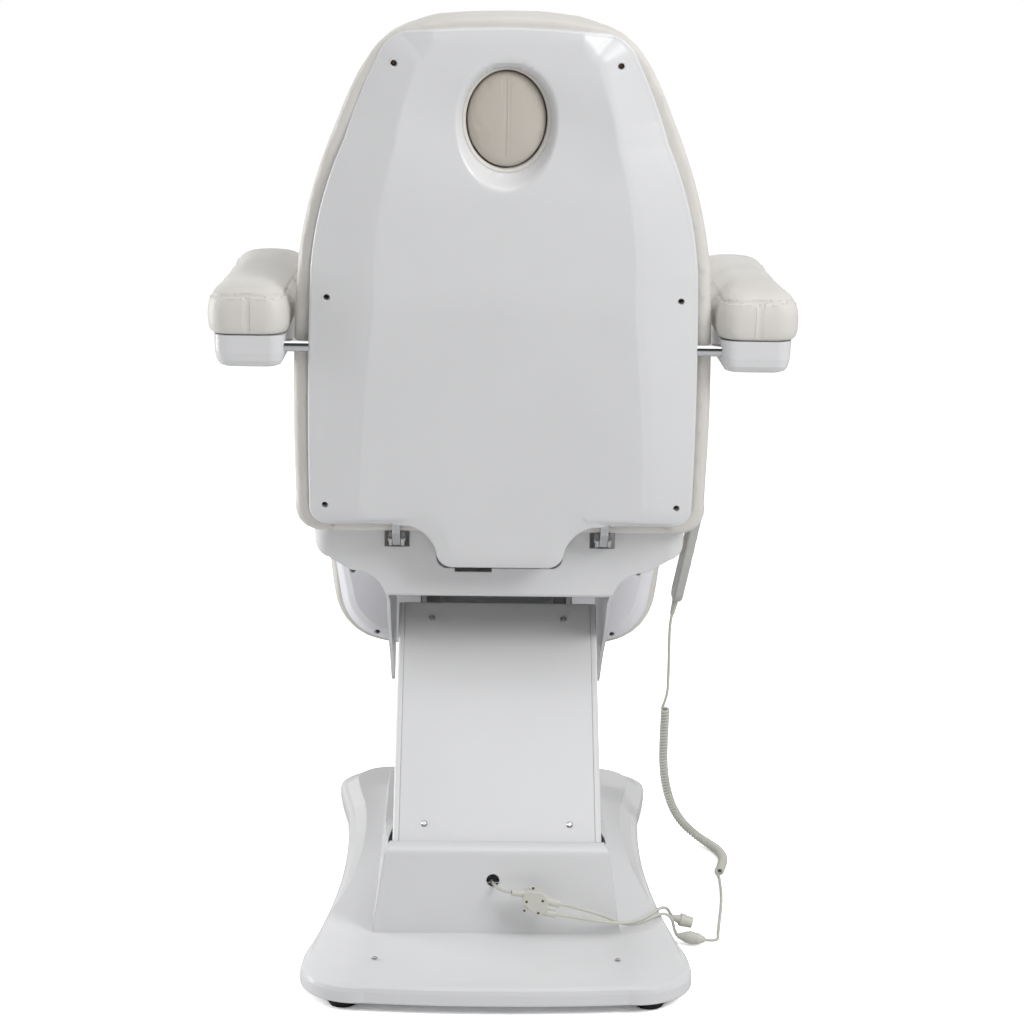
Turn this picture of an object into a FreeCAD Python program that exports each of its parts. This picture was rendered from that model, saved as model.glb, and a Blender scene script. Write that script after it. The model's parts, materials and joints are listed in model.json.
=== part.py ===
"""Pedicure spa chair with a powered lift, a reclining back and a split leg rest.

Millimetres. +Z is up, the sitter faces -Y, and +X is the sitter's left.
The origin is on the floor, under the middle of the base.
Each piece is one solid or a group of like solids, written to parts/NODE.step.
"""
import FreeCAD, Part
import math
import os

# Fits and walls
FIT = 0.05            # radial clearance of a pin in its bore
SEAT_GAP = 0.3        # between curved pieces that lie against each other
COVER_WALL = 3.5      # moulded covers
PAN_CORNER = 26.0     # the tray's upright rear corners

# Base
BASE_LENGTH = 960.0
FRAME_SETBACK = 50.0  # from the base's ends to the frame's end tubes and the feet
BASE_REAR_HALF = 296.0
BASE_WAIST_HALF = 250.0
BASE_FRONT_HALF = 279.0
FOOT_HEIGHT = 17.0
FOOT_RADIUS = 23.5
RIM_HEIGHT = 17.0
DECK_TOP = 66.0
HOUSING_REAR_Y = 327.0
HOUSING_TOP = 203.0
HOUSING_HALF_FOOT = 192.5
HOUSING_HALF_TOP = 170.0
NOSE_TOP = 104.0
CABLE_HOLE_RADIUS = 10.0
CABLE_HOLE_X = 6.0
CABLE_HOLE_Z = 149.0

# Lift linkage: two parallel arms between the base and the seat carrier
ARM_LENGTH = 540.0
ARM_ANGLE = 43.8      # above the floor, as photographed
ARM_PIVOT_Y = 205.0
ARM_PIVOT_Z = 124.0
TIE_DROP = 56.0       # the lower arm's pivots sit this far down
TIE_BACK = 30.0       # and this far towards the front
LIFT_UP = 20.0        # the arm's travel each way from its angle at rest
LIFT_DOWN = -26.0
PIN_RADIUS = 12.5
TIE_PIN_RADIUS = 10.0
LIFT_SLOPE = 22.0     # the lift motor's axis above the floor
LIFT_REACH = 120.0    # from the main pivot to that axis
LIFT_SPAN = 442.0     # from the motor's rear eye to the foot of that distance
LIFT_PIN_RADIUS = 6.0
EAR_INNER = 119.0
EAR_THICK = 8.0
LUG_GAP = 10.0        # from a motor rod's axis to each lug plate
ARM_COVER_HALF = 161.0
ARM_COVER_WALL = 6.0
ARM_COVER_REAR = 110.6
ARM_COVER_FRONT = 92.0
ARM_COVER_END = 420.0
ARM_COVER_NOSE = 100.0    # the cover's lower end rounds about the pivot
PANEL_HALF = 151.0
PANEL_THICK = 2.0

# Seat
SEAT_HALF = 310.0
SEAT_TOP = 740.0
BOARD_TOP = 652.0
BOARD_THICK = 12.0
SEAT_REAR_Y = 24.0
SEAT_FRONT_Y = -402.0
TRAY_HALF = 291.0
TRAY_REAR_Y = 110.0
TRAY_FRONT_Y = -376.0
SKIRT_HALF = 178.0
SKIRT_WALL = 6.0
RAIL_INNER = 119.0
RAIL_WIDTH = 25.0
RAIL_BOTTOM = 600.0

# Back rest, drawn upright about its hinge and then reclined
BACK_HINGE_Y = 126.0
BACK_HINGE_Z = 640.0
BACK_RECLINE = 8.0
BACK_HINGE_X = 161.0
CUSHION_THICK = 100.0
BACK_BOARD_THICK = 12.0
SHELL_WALL = 3.0
SHELL_FAR = 70.0      # the shell's slopes aim at a smaller outline this far behind
SHELL_LIP = 36.0      # how far the shell's sides run straight back before they slope
SHELL_LIP_U = 440.0   # up to this height, and from there the lip runs out
SHELL_LIP_END_U = 700.0
SHELL_POST_RADIUS = 7.5
SHELL_CREST = 62.0    # how far the shell stands behind the cushion's back
SHELL_CREST_U = 400.0
SHELL_TOP_DEPTH = 19.0
SHELL_FOOT_DEPTH = 47.0
TONGUE_DEPTH = 40.0
FACE_U = 664.0
FACE_HALF_X = 57.0
FACE_HALF_U = 70.0
ROD_U = 319.0
ROD_BEHIND = 24.0
ROD_RADIUS = 9.5

# Arm rests
ARMREST_INNER = 322.0
ARMREST_OUTER = 437.0
ARMREST_REAR_Y = 222.0
ARMREST_LENGTH = 489.0
ARMREST_BOTTOM = 921.0
ARMREST_SEAM = 970.0
ARMREST_TOP = 1049.0

# Leg rest, hanging
LEG_HINGE_Y = -370.0
LEG_HINGE_Z = 624.0
LEG_TUBE_RADIUS = 12.5
LEG_START = 42.0      # from the hinge down to the top of the pads
LEG_BOTTOM_Z = 314.0
LEG_FRONT_Y = -478.0
LEG_BOARD_Y = -388.0
LEG_BOARD_THICK = 10.0
LEG_SHELL_REAR_Y = -351.0
LEG_GAP_HALF = 5.0
LEG_SWIVEL_X = 232.0
LEG_SWIVEL_Z = 562.0
LEG_SHELL_TOP = 508.0

# Handset
HANDSET_Y = -180.0
HANDSET_X = -306.5
HANDSET_Z = 461.0
HANDSET_LENGTH = 161.0
HANDSET_WIDTH = 58.0
HANDSET_THICK = 16.0
HANDSET_TILT = 11.2
BUTTON_RADIUS = 6.5
BUTTON_TRAVEL = 1.0

# Cables
CORD_RADIUS = 2.6
CURL_RADIUS = 5.5
CURL_COUNT = 58

PARTS = {}


def vec(x, y, z):
    return FreeCAD.Vector(x, y, z)


def on_z(z):
    return lambda a, b: vec(a, b, z)


def on_y(y):
    return lambda a, b: vec(a, y, b)


def on_x(x):
    return lambda a, b: vec(x, a, b)


def box(x, y, z):
    low = vec(x[0], y[0], z[0])
    return Part.makeBox(x[1] - x[0], y[1] - y[0], z[1] - z[0], low)


def rod(start, end, radius):
    start, end = vec(*start), vec(*end)
    along = end.sub(start)
    return Part.makeCylinder(radius, along.Length, start, along)


def pipe(start, end, outer, inner):
    return rod(start, end, outer).cut(rod(start, end, inner))


def fuse(shapes):
    whole = shapes[0].multiFuse(shapes[1:]) if len(shapes) > 1 else shapes[0]
    return whole.removeSplitter()


def cut(shape, tools):
    return shape.cut(Part.makeCompound(tools)) if len(tools) > 1 else shape.cut(tools[0])


def welded(pieces, holes):
    """Bars and plates that meet face to face, each cut back from those before it."""
    placed = []
    for piece in pieces:
        meets = [other for other in placed if other.BoundBox.intersect(piece.BoundBox)]
        placed += (cut(piece, meets) if meets else piece).Solids
    bored = [cut(piece, holes) for piece in placed]
    return Part.makeCompound([solid for piece in bored for solid in piece.Solids])


def mirrored_x(shape):
    return shape.mirror(vec(0, 0, 0), vec(1, 0, 0))


def both_sides(shape):
    return [shape, mirrored_x(shape)]


def wire(outline, put):
    """A closed wire from points: a pair is a line's end, a pair of pairs an arc's middle and end."""
    here = put(*outline[0])
    first, edges = here, []
    for step in outline[1:]:
        if isinstance(step[0], tuple):
            end = put(*step[1])
            edges.append(Part.Arc(here, put(*step[0]), end).toShape())
        else:
            end = put(*step)
            edges.append(Part.LineSegment(here, end).toShape())
        here = end
    if here.sub(first).Length > 1e-6:
        edges.append(Part.LineSegment(here, first).toShape())
    return Part.Wire(edges)


def closed_by_mirror(half):
    """The half outline from the middle at one end to the middle at the other, and its mirror."""
    ends = [half[0]]
    for step in half[1:]:
        ends.append(step[1] if isinstance(step[0], tuple) else step)
    back = []
    for index in range(len(half) - 1, 0, -1):
        end = (-ends[index - 1][0], ends[index - 1][1])
        if isinstance(half[index][0], tuple):
            middle = (-half[index][0][0], half[index][0][1])
            back.append((middle, end))
        else:
            back.append(end)
    return half + back


def moved(outline, change):
    """The outline with change applied to each of its points."""
    out = []
    for step in outline:
        if isinstance(step[0], tuple):
            out.append((change(*step[0]), change(*step[1])))
        else:
            out.append(change(*step))
    return out


def prism(outline, put, along):
    return Part.Face(wire(outline, put)).extrude(along)


def loft(wires):
    return Part.makeLoft(wires, True, True)


def rounded(x, y, radius):
    """A rectangle from x[0] to x[1] and y[0] to y[1] with round corners."""
    bend = radius * (1 - math.sqrt(0.5))
    return [
        (x[0] + radius, y[0]),
        (x[1] - radius, y[0]),
        ((x[1] - bend, y[0] + bend), (x[1], y[0] + radius)),
        (x[1], y[1] - radius),
        ((x[1] - bend, y[1] - bend), (x[1] - radius, y[1])),
        (x[0] + radius, y[1]),
        ((x[0] + bend, y[1] - bend), (x[0], y[1] - radius)),
        (x[0], y[0] + radius),
        ((x[0] + bend, y[0] + bend), (x[0] + radius, y[0])),
    ]


def oval(half_x, half_y, centre_y=0.0):
    """Four arcs through the tops, the sides and the points between them."""
    k = math.sqrt(0.5)
    return [
        (half_x, centre_y),
        ((half_x * k, centre_y + half_y * k), (0, centre_y + half_y)),
        ((-half_x * k, centre_y + half_y * k), (-half_x, centre_y)),
        ((-half_x * k, centre_y - half_y * k), (0, centre_y - half_y)),
        ((half_x * k, centre_y - half_y * k), (half_x, centre_y)),
    ]


def screw_head(point, normal, radius):
    """A low pan head that sits on the surface at point."""
    rim = Part.makeCylinder(radius, radius * 0.25, vec(*point), vec(*normal))
    start = vec(*point).add(vec(*normal).multiply(radius * 0.25))
    return rim.fuse(Part.makeCone(radius, radius * 0.6, radius * 0.35, start, vec(*normal)))


def keep(name, shapes):
    """Write the solids of one piece, and print whether they are closed."""
    shapes = shapes if isinstance(shapes, list) else [shapes]
    solids = [solid for shape in shapes for solid in shape.Solids]
    whole = solids[0] if len(solids) == 1 else Part.makeCompound(solids)
    closed = all(solid.isValid() and solid.isClosed() for solid in solids)
    print(name, len(solids), "solids", round(whole.Volume), "mm3", "closed" if closed else "OPEN")
    whole.exportStep("parts/" + name + ".step")
    PARTS[name] = whole


# Base

def base_outline(side, rear, front):
    """The hourglass plan of the base, drawn in by side, rear and front."""
    half_length = BASE_LENGTH / 2
    half = [
        (0, half_length),
        ((100, half_length - 2), (196, half_length - 9)),
        ((266, half_length - 30), (BASE_REAR_HALF, half_length - 88)),
        ((BASE_REAR_HALF - 3, half_length - 132), (284, half_length - 175)),
        ((BASE_WAIST_HALF, -70), (258, 218 - half_length)),
        ((268, 160 - half_length), (BASE_FRONT_HALF, 80 - half_length)),
        ((266, 36 - half_length), (210, 8 - half_length)),
        ((105, 2 - half_length), (0, -half_length)),
    ]

    def drawn_in(x, y):
        ends = rear if y > 0 else front
        return (x * (1 - side / BASE_REAR_HALF), y * (1 - ends / half_length))

    return closed_by_mirror(moved(half, drawn_in))


def base_deck(inset):
    """The low deck, a stack of drawn-in plans. inset gives the hollow inside the wall."""
    rim_top = FOOT_HEIGHT + RIM_HEIGHT
    levels = [
        (FOOT_HEIGHT, 0, 0, 0),
        (rim_top, 0, 0, 0),
        (rim_top + 6, 2, 2, 2),
        (rim_top + 10, 7, 8, 7),
        (rim_top + 13, 14, 20, 16),
        (DECK_TOP, 36, 150, 44),
    ]
    wires = []
    for z, side, rear, front in levels:
        drop = inset if z > rim_top else 0
        plan = base_outline(side + inset, rear + inset, front + inset)
        wires.append(wire(plan, on_z(z - drop)))
    return loft(wires)


def housing_solid(inset):
    """The raised housing: a high rear end, cheeks that slope forward, and a low nose."""
    rear_foot = HOUSING_REAR_Y - inset
    rear_top = HOUSING_REAR_Y - 12 - inset
    top = HOUSING_TOP - inset
    lip = 22.0
    side = [
        (-345 + inset, DECK_TOP - 26),
        (rear_foot + 1, DECK_TOP - 26),
        (rear_top, top - lip),
        ((rear_top - 0.3 * lip, top - 0.3 * lip), (rear_top - lip, top)),
        (280, top),
        (-60, NOSE_TOP - inset),
        (-290 + inset, NOSE_TOP - inset),
        ((-318 + inset, NOSE_TOP - 12 - inset), (-335 + inset, DECK_TOP)),
    ]
    body = prism(side, on_x(-220), vec(440, 0, 0))
    foot, shoulder = HOUSING_HALF_FOOT - inset, HOUSING_HALF_TOP - inset
    section = [
        (-foot - 2, DECK_TOP - 30),
        (foot + 2, DECK_TOP - 30),
        (shoulder + 1, HOUSING_TOP - 9),
        (shoulder - 7, HOUSING_TOP + 1),
        (7 - shoulder, HOUSING_TOP + 1),
        (-shoulder - 1, HOUSING_TOP - 9),
    ]
    return body.common(prism(section, on_y(-360), vec(0, 720, 0)))


def base_cover():
    outer = base_deck(0).fuse(housing_solid(0))
    hollow = base_deck(COVER_WALL).fuse(housing_solid(COVER_WALL))
    well_half = ARM_COVER_HALF + 6
    well = box((-well_half, well_half), (-60, 293), (DECK_TOP - 10, 260))
    front_well = box((-62, 62), (-302, -60), (DECK_TOP - 10, 260))
    hole = rod((CABLE_HOLE_X, 295, CABLE_HOLE_Z), (CABLE_HOLE_X, 340, CABLE_HOLE_Z),
               CABLE_HOLE_RADIUS)
    floor = box((-400, 400), (-600, 600), (FOOT_HEIGHT - 60, FOOT_HEIGHT))
    cover = cut(outer, [hollow, well, front_well, hole, floor])
    return cover.removeSplitter()


def base_frame():
    """Welded box tubes, with the ears that carry both arms and the lift motor."""
    low, high = FOOT_HEIGHT + 1, FOOT_HEIGHT + 25
    end = BASE_LENGTH / 2 - FRAME_SETBACK
    rails = both_sides(box((168, 208), (12 - end, end - 12), (low, high)))
    cross = [box((-240, 240), (y - 12, y + 12), (low, high)) for y in (-end, end)]
    plate = box((-208, 208), (120, 280), (low, low + 4))
    front = box((-208, 208), (-272, -232), (low, high))
    ear = [
        (ARM_PIVOT_Y + 50, low),
        (ARM_PIVOT_Y + 26, ARM_PIVOT_Z),
        ((ARM_PIVOT_Y, ARM_PIVOT_Z + 26), (ARM_PIVOT_Y - 26, ARM_PIVOT_Z)),
        (ARM_PIVOT_Y - TIE_BACK - 24, ARM_PIVOT_Z - TIE_DROP),
        (ARM_PIVOT_Y - TIE_BACK - 30, low),
    ]
    ears = both_sides(prism(ear, on_x(EAR_INNER), vec(EAR_THICK, 0, 0)))
    motor_ear = [
        (LIFT_FOOT[0] + 20, high - 4),
        (LIFT_FOOT[0] + 15, LIFT_FOOT[1]),
        ((LIFT_FOOT[0], LIFT_FOOT[1] + 15), (LIFT_FOOT[0] - 15, LIFT_FOOT[1])),
        (LIFT_FOOT[0] - 20, high - 4),
    ]
    motor_ears = both_sides(prism(motor_ear, on_x(13), vec(6, 0, 0)))
    tie_y, tie_z = ARM_PIVOT_Y - TIE_BACK, ARM_PIVOT_Z - TIE_DROP
    return welded(rails + cross + [plate, front] + ears + motor_ears, [
        rod((-140, ARM_PIVOT_Y, ARM_PIVOT_Z), (140, ARM_PIVOT_Y, ARM_PIVOT_Z), PIN_RADIUS),
        rod((-140, tie_y, tie_z), (140, tie_y, tie_z), TIE_PIN_RADIUS),
        rod((-30, LIFT_FOOT[0], LIFT_FOOT[1]), (30, LIFT_FOOT[0], LIFT_FOOT[1]), 6.0),
    ])


def feet():
    pads = []
    end = BASE_LENGTH / 2 - FRAME_SETBACK
    for x in (-229, 229):
        for y in (-end, end):
            pad = Part.makeCone(FOOT_RADIUS - 3, FOOT_RADIUS, 5, vec(x, y, 0))
            pad = pad.fuse(Part.makeCylinder(FOOT_RADIUS, FOOT_HEIGHT - 8, vec(x, y, 5)))
            stem = Part.makeCylinder(7, 4, vec(x, y, FOOT_HEIGHT - 3))
            pads.append(pad.fuse(stem))
    return pads


def deck_screws():
    heads = []
    rear, front = BASE_LENGTH / 2 - 82, 90 - BASE_LENGTH / 2
    for x in (-183, 183):
        heads.append(screw_head((x, rear, deck_height(rear) + 0.1), (0, -0.14, 1), 4.0))
        heads.append(screw_head((x * 0.9, front, DECK_TOP), (0, 0, 1), 4.0))
    return heads


def deck_height(y):
    """The rear deck rises straight from its rounded edge to the housing."""
    low, high = FOOT_HEIGHT + RIM_HEIGHT + 13, DECK_TOP
    y_low, y_high = BASE_LENGTH / 2 - 20, BASE_LENGTH / 2 - 150
    return low + (high - low) * (y_low - y) / (y_low - y_high)


def pivot_pin(y, z, radius, half):
    """A shaft with a retaining washer at each end."""
    shaft = rod((-half, y, z), (half, y, z), radius)
    washers = [rod((s * half, y, z), (s * (half + 3), y, z), radius + 4) for s in (-1, 1)]
    return fuse([shaft] + washers)


def base_pins():
    half = EAR_INNER + EAR_THICK
    return [
        pivot_pin(ARM_PIVOT_Y, ARM_PIVOT_Z, PIN_RADIUS, half),
        pivot_pin(ARM_PIVOT_Y - TIE_BACK, ARM_PIVOT_Z - TIE_DROP, TIE_PIN_RADIUS, half),
        pivot_pin(LIFT_FOOT[0], LIFT_FOOT[1], 6.0, 19),
    ]


# Lift arms, drawn upright from the lower pivot and then leaned forward

def lean(shape, y, z):
    shape = shape.copy()
    shape.rotate(vec(0, 0, 0), vec(1, 0, 0), 90 - ARM_ANGLE)
    shape.translate(vec(0, y, z))
    return shape


def arm_point(along, behind):
    """A point of the main arm's frame in the row's Y and Z."""
    lift = math.radians(ARM_ANGLE)
    y = ARM_PIVOT_Y - along * math.cos(lift) + behind * math.sin(lift)
    z = ARM_PIVOT_Z + along * math.sin(lift) + behind * math.cos(lift)
    return (y, z)


def turned(angle):
    """The unit direction in the row's Y and Z that stands angle above +Y."""
    return (math.cos(math.radians(angle)), math.sin(math.radians(angle)))


def lift_motor_ends():
    """The motor's rear eye, and the cross pin's place at rest, on an axis past the pivot."""
    way, off = turned(LIFT_SLOPE), turned(LIFT_SLOPE + 90)
    near = (ARM_PIVOT_Y + LIFT_REACH * off[0], ARM_PIVOT_Z + LIFT_REACH * off[1])
    ahead = LIFT_REACH * math.tan(math.radians(-(LIFT_UP + LIFT_DOWN) / 2))
    foot = (near[0] - LIFT_SPAN * way[0], near[1] - LIFT_SPAN * way[1])
    return foot, (near[0] + ahead * way[0], near[1] + ahead * way[1])


SEAT_PIVOT = arm_point(ARM_LENGTH, 0)
LIFT_FOOT, LIFT_HEAD = lift_motor_ends()


def slotted_plate(inner, outer, half_slot, wall, root):
    """A plate about the origin, slotted from radius inner to outer along +Z, on a neck to root."""
    wide = half_slot + wall
    plate = [
        (-wide, root),
        (-wide, outer),
        ((0, outer + wide), (wide, outer)),
        (wide, root),
    ]
    slot = [
        (-half_slot, inner),
        (-half_slot, outer),
        ((0, outer + half_slot), (half_slot, outer)),
        (half_slot, inner),
        ((0, inner - half_slot), (-half_slot, inner)),
    ]
    return plate, slot


def slotted_pair(inner, outer, half_slot, wall, root, gap, thick):
    """Two such plates, astride a rod that lies between them."""
    plate, slot = slotted_plate(inner, outer, half_slot, wall, root)
    pair = []
    for low in (-gap - thick, gap):
        piece = prism(plate, on_x(low), vec(thick, 0, 0))
        pair.append(piece.cut(prism(slot, on_x(low - 1), vec(thick + 2, 0, 0))))
    return pair


def spin_x(shape, angle):
    """Turn a shape drawn along +Z until it points angle above +Y."""
    shape = shape.copy()
    shape.rotate(vec(0, 0, 0), vec(1, 0, 0), angle - 90)
    return shape


def lift_lug_angle():
    """How far the lug leans behind the arm, so that it holds the cross pin at rest."""
    dy, dz = LIFT_HEAD[0] - ARM_PIVOT_Y, LIFT_HEAD[1] - ARM_PIVOT_Z
    return 180 - ARM_ANGLE - math.degrees(math.atan2(dz, dy))


def arm_frame():
    inner = EAR_INNER - 1
    bore = PIN_RADIUS + FIT
    side = box((94, 114), (-26, 26), (0, ARM_LENGTH))
    tubes = [rod((-inner, 0, z), (inner, 0, z), 22) for z in (0, ARM_LENGTH)]
    stiffener = rod((-96, 0, 330), (96, 0, 330), 14)
    rim = ARM_COVER_HALF - ARM_COVER_WALL
    straps = [box((-rim, rim), (26, 32), (z, z + 30)) for z in (190, 385)]
    far = LIFT_REACH / math.cos(math.radians((LIFT_UP - LIFT_DOWN) / 2))
    lugs = slotted_pair(LIFT_REACH, far, LIFT_PIN_RADIUS + 2, 9, 72, LUG_GAP, 6)
    lug_tube = rod((-96, 0, 68), (96, 0, 68), 14)
    lugs = [spin_x(piece, 90 - lift_lug_angle()) for piece in [lug_tube] + lugs]
    holes = [rod((-130, 0, z), (130, 0, z), bore) for z in (0, ARM_LENGTH)]
    frame = welded(both_sides(side) + tubes + [stiffener] + lugs + straps, holes)
    return lean(frame, ARM_PIVOT_Y, ARM_PIVOT_Z)


def arm_cover():
    """A channel round the arms, open to the front, with a rebate for the rear panel."""
    half, wall = ARM_COVER_HALF, ARM_COVER_WALL
    end_radius = ARM_COVER_NOSE
    profile = [
        (-ARM_COVER_FRONT, 30),
        ((-end_radius * 0.75, -end_radius * 0.66), (0, -end_radius)),
        ((end_radius * 0.75, -end_radius * 0.66), (end_radius, -8)),
        (ARM_COVER_REAR, -8),
        (ARM_COVER_REAR, ARM_COVER_END),
        (-ARM_COVER_FRONT + 30, ARM_COVER_END),
        (-ARM_COVER_FRONT, ARM_COVER_END - 40),
    ]
    block = prism(profile, on_x(-half), vec(2 * half, 0, 0))
    rear_wall = ARM_COVER_REAR - wall
    hollow = box((wall - half, half - wall), (-200, rear_wall), (-200, ARM_COVER_END + 50))
    window = box((-100, 100), (rear_wall - 5, ARM_COVER_REAR + 5), (20, ARM_COVER_END - 20))
    rebate = box((-PANEL_HALF - 0.3, PANEL_HALF + 0.3), (ARM_COVER_REAR - PANEL_THICK, 200),
                 (-20, ARM_COVER_END + 5))
    shell = cut(block, [hollow, window, rebate])
    edges = [edge for edge in shell.Edges if is_rear_corner(edge, half)]
    shell = shell.makeFillet(wall - 1.5, edges)
    return lean(shell, ARM_PIVOT_Y, ARM_PIVOT_Z)


def is_rear_corner(edge, half):
    """The long outer edges where the channel's sides meet its rear."""
    box_ = edge.BoundBox
    outside = abs(abs(box_.Center.x) - half) < 0.01 and box_.XLength < 0.01
    at_rear = abs(box_.Center.y - ARM_COVER_REAR) < 0.01 and box_.YLength < 0.01
    return outside and at_rear and box_.ZLength > 200


def arm_panel():
    panel = box((-PANEL_HALF, PANEL_HALF), (ARM_COVER_REAR - PANEL_THICK, ARM_COVER_REAR + 0.6),
                (-8, ARM_COVER_END))
    return lean(panel, ARM_PIVOT_Y, ARM_PIVOT_Z)


def panel_screws():
    heads = []
    for x in (-107, 107):
        heads.append(screw_head((x * 1.05, ARM_COVER_REAR + 0.6, 23), (0, 1, 0), 5.0))
        heads.append(screw_head((x, ARM_COVER_REAR + 0.6, 390), (0, 1, 0), 5.0))
    return [lean(head, ARM_PIVOT_Y, ARM_PIVOT_Z) for head in heads]


def tie_arm():
    inner = EAR_INNER - 1
    bars = both_sides(box((60, 76), (-14, 14), (0, ARM_LENGTH)))
    tubes = [rod((-inner, 0, z), (inner, 0, z), 17) for z in (0, ARM_LENGTH)]
    holes = [rod((-130, 0, z), (130, 0, z), TIE_PIN_RADIUS + FIT) for z in (0, ARM_LENGTH)]
    tie = cut(fuse(bars + tubes), holes)
    return lean(tie, ARM_PIVOT_Y - TIE_BACK, ARM_PIVOT_Z - TIE_DROP)


# Linear motors: a body with a gear head and a rear eye, and a rod with a front eye

def motor_body(length, radius, eye_half, eye_hole, rod_radius):
    """Along +Z from the rear eye at the origin. The rod's bore is open at the top."""
    eye = rod((-eye_half, 0, 0), (eye_half, 0, 0), radius * 0.62)
    neck = box((-eye_half, eye_half), (-radius * 0.5, radius * 0.5), (0, 30))
    head = box((-radius, radius), (-radius, radius), (20, 90))
    edges = [edge for edge in head.Edges if edge.BoundBox.ZLength > 60]
    head = head.makeFillet(radius * 0.35, edges)
    can = rod((0, 0, 80), (0, 0, length), radius * 0.8)
    ring = rod((0, 0, length - 14), (0, 0, length), radius * 0.95)
    body = fuse([eye, neck, head, can, ring])
    return cut(body, [
        rod((-eye_half - 1, 0, 0), (eye_half + 1, 0, 0), eye_hole),
        rod((0, 0, 95), (0, 0, length + 5), rod_radius + FIT),
    ])


def motor_rod(start, length, radius, eye_half, pin_radius, pin_half):
    """From inside the body at start to the eye at length, with its cross pin."""
    stem = rod((0, 0, start), (0, 0, length - 6), radius)
    eye = rod((-eye_half, 0, length), (eye_half, 0, length), radius * 1.35)
    pin = rod((-pin_half, 0, length), (pin_half, 0, length), pin_radius)
    heads = [rod((s * pin_half, 0, length), (s * (pin_half + 2.5), 0, length), pin_radius + 5)
             for s in (-1, 1)]
    return fuse([stem, eye, pin] + heads)


def aim(shape, start, end, x):
    """Turn a piece drawn along +Z to run from start to end, both in Y and Z, at x."""
    dy, dz = end[0] - start[0], end[1] - start[1]
    shape = shape.copy()
    shape.rotate(vec(0, 0, 0), vec(1, 0, 0), -math.degrees(math.atan2(dy, dz)))
    shape.translate(vec(x, start[0], start[1]))
    return shape


def span(start, end):
    return math.hypot(end[0] - start[0], end[1] - start[1])


MOTOR_X = 41.0
BACK_TRAVEL = 78.0
BACK_LEVER_RADIUS = 30.0
BACK_LEVER_ANGLE = BACK_TRAVEL / 2 - 90
LEG_TRAVEL = 88.0
LEG_LEVER_RADIUS = 50.0
LEG_LEVER_ANGLE = LEG_TRAVEL / 2 - 90
SMALL_PIN_RADIUS = 4.5
SMALL_GAP = 7.0       # from a small motor rod's axis to each lever plate


def lever_end(y, z, radius, angle):
    way = turned(angle)
    return (y + radius * way[0], z + radius * way[1])


BACK_MOTOR_HEAD = lever_end(BACK_HINGE_Y, BACK_HINGE_Z, BACK_LEVER_RADIUS, BACK_LEVER_ANGLE)
BACK_MOTOR_FOOT = (-262.0, BACK_MOTOR_HEAD[1])
LEG_MOTOR_HEAD = lever_end(LEG_HINGE_Y, LEG_HINGE_Z, LEG_LEVER_RADIUS, LEG_LEVER_ANGLE)
LEG_MOTOR_FOOT = (22.0, LEG_MOTOR_HEAD[1])


def motors():
    """Each rod starts where it stays in its bore over the whole stroke."""
    lift = span(LIFT_FOOT, LIFT_HEAD)
    keep("lift_motor", aim(motor_body(300, 25, 12.5, LIFT_PIN_RADIUS, 9), LIFT_FOOT, LIFT_HEAD, 0))
    keep("lift_rod", aim(motor_rod(160, lift, 9, 9, LIFT_PIN_RADIUS, 17), LIFT_FOOT, LIFT_HEAD, 0))
    back = span(BACK_MOTOR_FOOT, BACK_MOTOR_HEAD)
    keep("back_motor", aim(motor_body(back - 75, 20, 8, 5, 6.5), BACK_MOTOR_FOOT, BACK_MOTOR_HEAD,
                           MOTOR_X))
    keep("back_rod", aim(motor_rod(140, back, 6.5, 6, SMALL_PIN_RADIUS, 13), BACK_MOTOR_FOOT,
                         BACK_MOTOR_HEAD, MOTOR_X))
    leg = span(LEG_MOTOR_FOOT, LEG_MOTOR_HEAD)
    keep("leg_motor", aim(motor_body(leg - 36, 17, 8, 5, 6), LEG_MOTOR_FOOT, LEG_MOTOR_HEAD,
                          -MOTOR_X))
    keep("leg_rod", aim(motor_rod(110, leg, 6, 6, SMALL_PIN_RADIUS, 13), LEG_MOTOR_FOOT,
                        LEG_MOTOR_HEAD, -MOTOR_X))


# Seat carrier

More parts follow.
